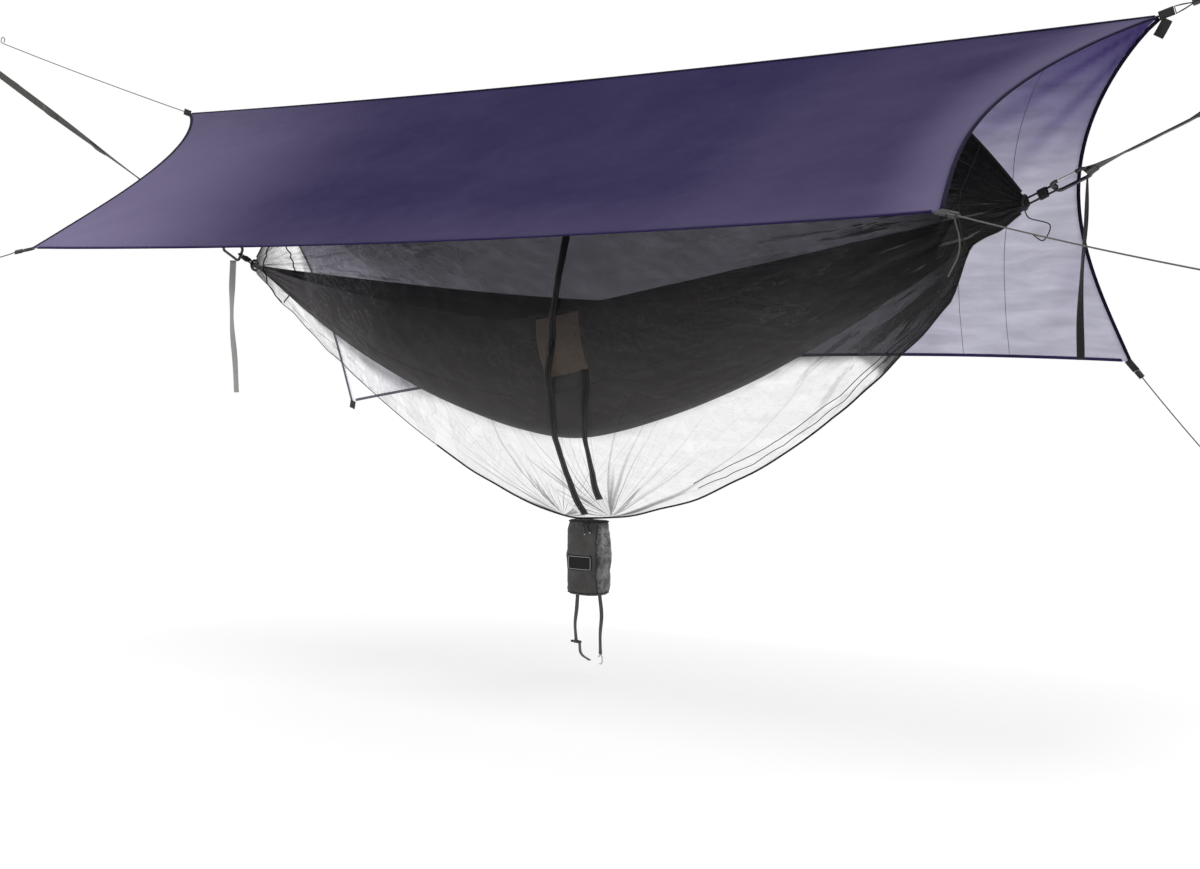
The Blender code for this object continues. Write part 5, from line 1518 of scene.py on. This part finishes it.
def bagMesh():
    rows, turns = sack["rows"], sack["turns"]
    shape = bmesh.new()
    grid = [[shape.verts.new(point) for point in sackRing(1 - r / rows, turns)] for r in range(rows + 1)]
    layer = shape.loops.layers.uv.new("cloth")

    def addFace(corners, spots):
        face = shape.faces.new(corners)
        face.smooth = True
        for loop, spot in zip(face.loops, spots):
            loop[layer].uv = spot

    for r in range(rows):
        for t in range(turns):
            n = (t + 1) % turns
            addFace((grid[r][n], grid[r][t], grid[r + 1][t], grid[r + 1][n]),
                    [(a / turns * sack["around"], b / rows * sack["height"])
                     for a, b in ((t + 1, r), (t, r), (t, r + 1), (t + 1, r + 1))])
    for row, way in ((grid[0], 1), (grid[-1], -1)):
        hub = shape.verts.new(sum((v.co for v in row), Vector()) / turns + up * (way * sack["hub"]))
        for t in range(turns):
            corners = (*(row[t], row[(t + 1) % turns])[::way], hub)
            addFace(corners, [(v.co.x, v.co.y) for v in corners])
    bmesh.ops.recalc_face_normals(shape, faces=shape.faces)
    data = bpy.data.meshes.new("sackBag")
    shape.to_mesh(data)
    shape.free()
    return data


pipings = {"Top": {"in": 0.004, "radius": 0.0022}, "Low": {"in": 0.006, "radius": 0.0013}}


def makeBag():
    piece = bpy.data.objects.new("sackBag", bagMesh())
    bpy.context.scene.collection.objects.link(piece)
    keep(piece, "sackBag", "sack", "sack", "sack_fabric", ["sack_body", "sack_side_mesh"])
    piece.data.materials.append(made["sackSide"])
    end = sack["panelEnd"]
    for face in piece.data.polygons:  # the end panel is of thin crinkled cloth
        if face.center.x > split + bag["wave"] * sin(face.center.z * 90) and low + end < face.center.z < crown - end:
            face.material_index = 1
    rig.padded(piece, sack["padding"])
    for name, z in (("Top", crown - pipings["Top"]["in"]), ("Low", low + pipings["Low"]["in"])):
        keepCord(sackRing((z - low) / (crown - low), 90, sack["seamOff"]), pipings[name]["radius"],
                 "sackPiping" + name, "sack", closed=True)
    for side, name in ((-1, "Front"), (1, "Back")):
        points = [min(sackRing(c, 240), key=lambda p: abs(p.x - split) + (0.5 if p.y * side < 0 else 0))
                  for c in spaced(40, 0.03, 0.97)]
        keepCord([p + across * (side * sack["seamOff"]) for p in points], sack["seam"], "sackSeam" + name, "sack")


label = {"left": 0.012, "width": 0.080, "height": 0.042, "low": 0.335, "share": 0.20, "off": 0.0010, "thick": 0.0006,
         "stitch": 0.0006, "stitchOff": 0.0005, "frame": (0.04, 0.96, 0.08, 0.92)}


def labelPoint(u, v):
    x = sackLeft + label["left"] + label["width"] * u
    front = sackRing(label["low"] + label["share"] * (1 - v), 360)[180:]
    best = min(front, key=lambda p: abs(p.x - x))
    return Vector((x, best.y - label["off"], best.z))


def makeLabel():
    patch = clothSheet((24, 10), labelPoint, (label["width"], label["height"]), label["thick"])
    keep(patch, "sackLabel", "patch", "sack", "sack_fabric")
    left, right, top, bottom = label["frame"]
    line = [(u, top) for u in spaced(12, left, right)] + [(right, v) for v in spaced(6, top, bottom)[1:]]
    line += [(u, bottom) for u in spaced(12, right, left)[1:]] + [(left, v) for v in spaced(6, bottom, top)[1:-1]]
    keepCord([labelPoint(*spot) - across * label["stitchOff"] for spot in line], label["stitch"], "sackLabelStitch",
             "sack", paint="whiteTip", closed=True)


laceLine = ((0.006, 0, 0.002), (0.020, -0.001, 0.004), (0.036, 0, 0.0015), (0.043, 0, -0.006))


def makeTies():
    for number, name in enumerate(("Low", "High")):
        turns = spaced(48, 0, 2 * pi)[:-1]
        ring = [knot + Vector(((0.010 + 0.001 * number) * cos(turn), 0.007 * sin(turn),
                               (number - 0.5) * 0.006 + 0.0015 * sin(turn * 2 + number))) for turn in turns]
        keepCord(ring, sack["tie"], "sackTie" + name, swung, *(["sack_knot"] if name == "Low" else []), closed=True)
    for sign, name in ((-1, "Left"), (1, "Right")):
        points = [knot + Vector((sign * x, y, z)) for x, y, z in laceLine]
        keepCord(roundPath(points, 6), sack["lace"], "sackLace" + name, "sack")


cordEnd = {"y": -0.0285, "under": 0.007, "radius": 0.0014, "tip": 0.0019, "over": 0.6}


def makeSackCord(name, x, reach, swing):
    points = roundRoute(Vector((sack["x"] + x, cordEnd["y"], crown - cordEnd["under"])), (-0.004, -0.006, -0.004),
                        (0.002, -0.008, -reach * 0.55), (swing, -0.0095, -reach))
    keepCord(points, cordEnd["radius"], "sackCord" + name, "sack")
    last, end = points[-2:]
    keepCord([last, last.lerp(end, 0.5), end, end + (end - last) * cordEnd["over"]], cordEnd["tip"],
             "sackCordTip" + name, "sack", paint="whiteTip")


tails = {"width": 0.011, "thick": 0.0013, "long": 0.165, "short": 0.132, "inset": 0.02, "rise": 0.006,
         "barLength": 0.034, "barRadius": 0.0035, "barBevel": 0.0009, "strap": 0.058, "strapRise": 0.002,
         "turnThick": 0.0009}


def makeTail(name, route):
    points = roundPath(route, 12)
    points[0] = points[0] + up * tails["rise"]
    ways = [Vector((1, 0.25 * sin(2 * pi * i / len(points)), 0)) for i in range(len(points))]
    keep(webbingPiece(points, ways, tails["width"], tails["thick"], 5), "sackTail" + name, "sackWebbing", "sack",
         "webbing", ["sack_tail_" + name.lower()])


def makeToggle(bar):
    width, radius = tails["width"], tails["barRadius"]
    grab()
    bpy.ops.mesh.primitive_cylinder_add(vertices=40, radius=radius, depth=tails["barLength"])
    toggle = softened(bpy.context.object, tails["barBevel"])
    settle(toggle, Matrix.Translation(bar) @ Matrix.Rotation(pi / 2, 4, "Y"))
    keep(toggle, "toggleBar", "blackPlastic", "toggle", "black_plastic", ["tail_toggle"])
    top = bar + alongX * (tails["barLength"] / 2 - width / 2) - up * (radius + hang["gap"])
    route = [top + up * tails["strapRise"], top + Vector((0.1, 0, -0.5)) * tails["strap"],
             top + Vector((0.62, 0, -0.78)) * tails["strap"]]
    keep(webbingPiece(roundPath(route, 12), across, width, tails["thick"], 5), "toggleStrap", "sackWebbing", "toggle",
         "webbing", ["toggle_strap"])
    around = radius + tails["turnThick"]  # the tail's end turned round the bar
    wrap = arc(bar, up * around, across * around, 0, 2 * pi, 24)
    keep(webbingPiece(wrap, alongX, width * 0.98, tails["turnThick"]), "toggleTurn", "sackWebbing", "sack", "webbing")


def makeTails():
    gap, sway = hang["gap"], tails["width"] / 2
    shortTop = Vector((sackLeft + tails["inset"], 0, low - gap))
    longTop = Vector((sackRight - tails["inset"], 0, low - gap))
    shortLow = shortTop + Vector((-sway, 0, -tails["short"]))
    longLow = longTop + Vector((sway / 2, 0, -tails["long"]))
    makeTail("Short", [shortTop, shortTop.lerp(shortLow, 1 / 3) - alongX * (sway / 3),
                       shortTop.lerp(shortLow, 2 / 3) - alongX * sway, shortLow])
    makeTail("Long", [longTop, longTop.lerp(longLow, 1 / 3) + alongX * sway, longTop.lerp(longLow, 2 / 3), longLow])
    makeToggle(shortLow - up * (tails["barRadius"] + gap))


makeBag()
makeLabel()
makeTies()
for cordName, row in sackCords.items():
    makeSackCord(cordName, **row)
makeTails()
print("sack made")

size = {"cad": cadBox, "scene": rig.bounds()}
with open("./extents.json", "w") as out:
    json.dump({key: [list(side) for side in value] for key, value in size.items()}, out)
print("size", size)
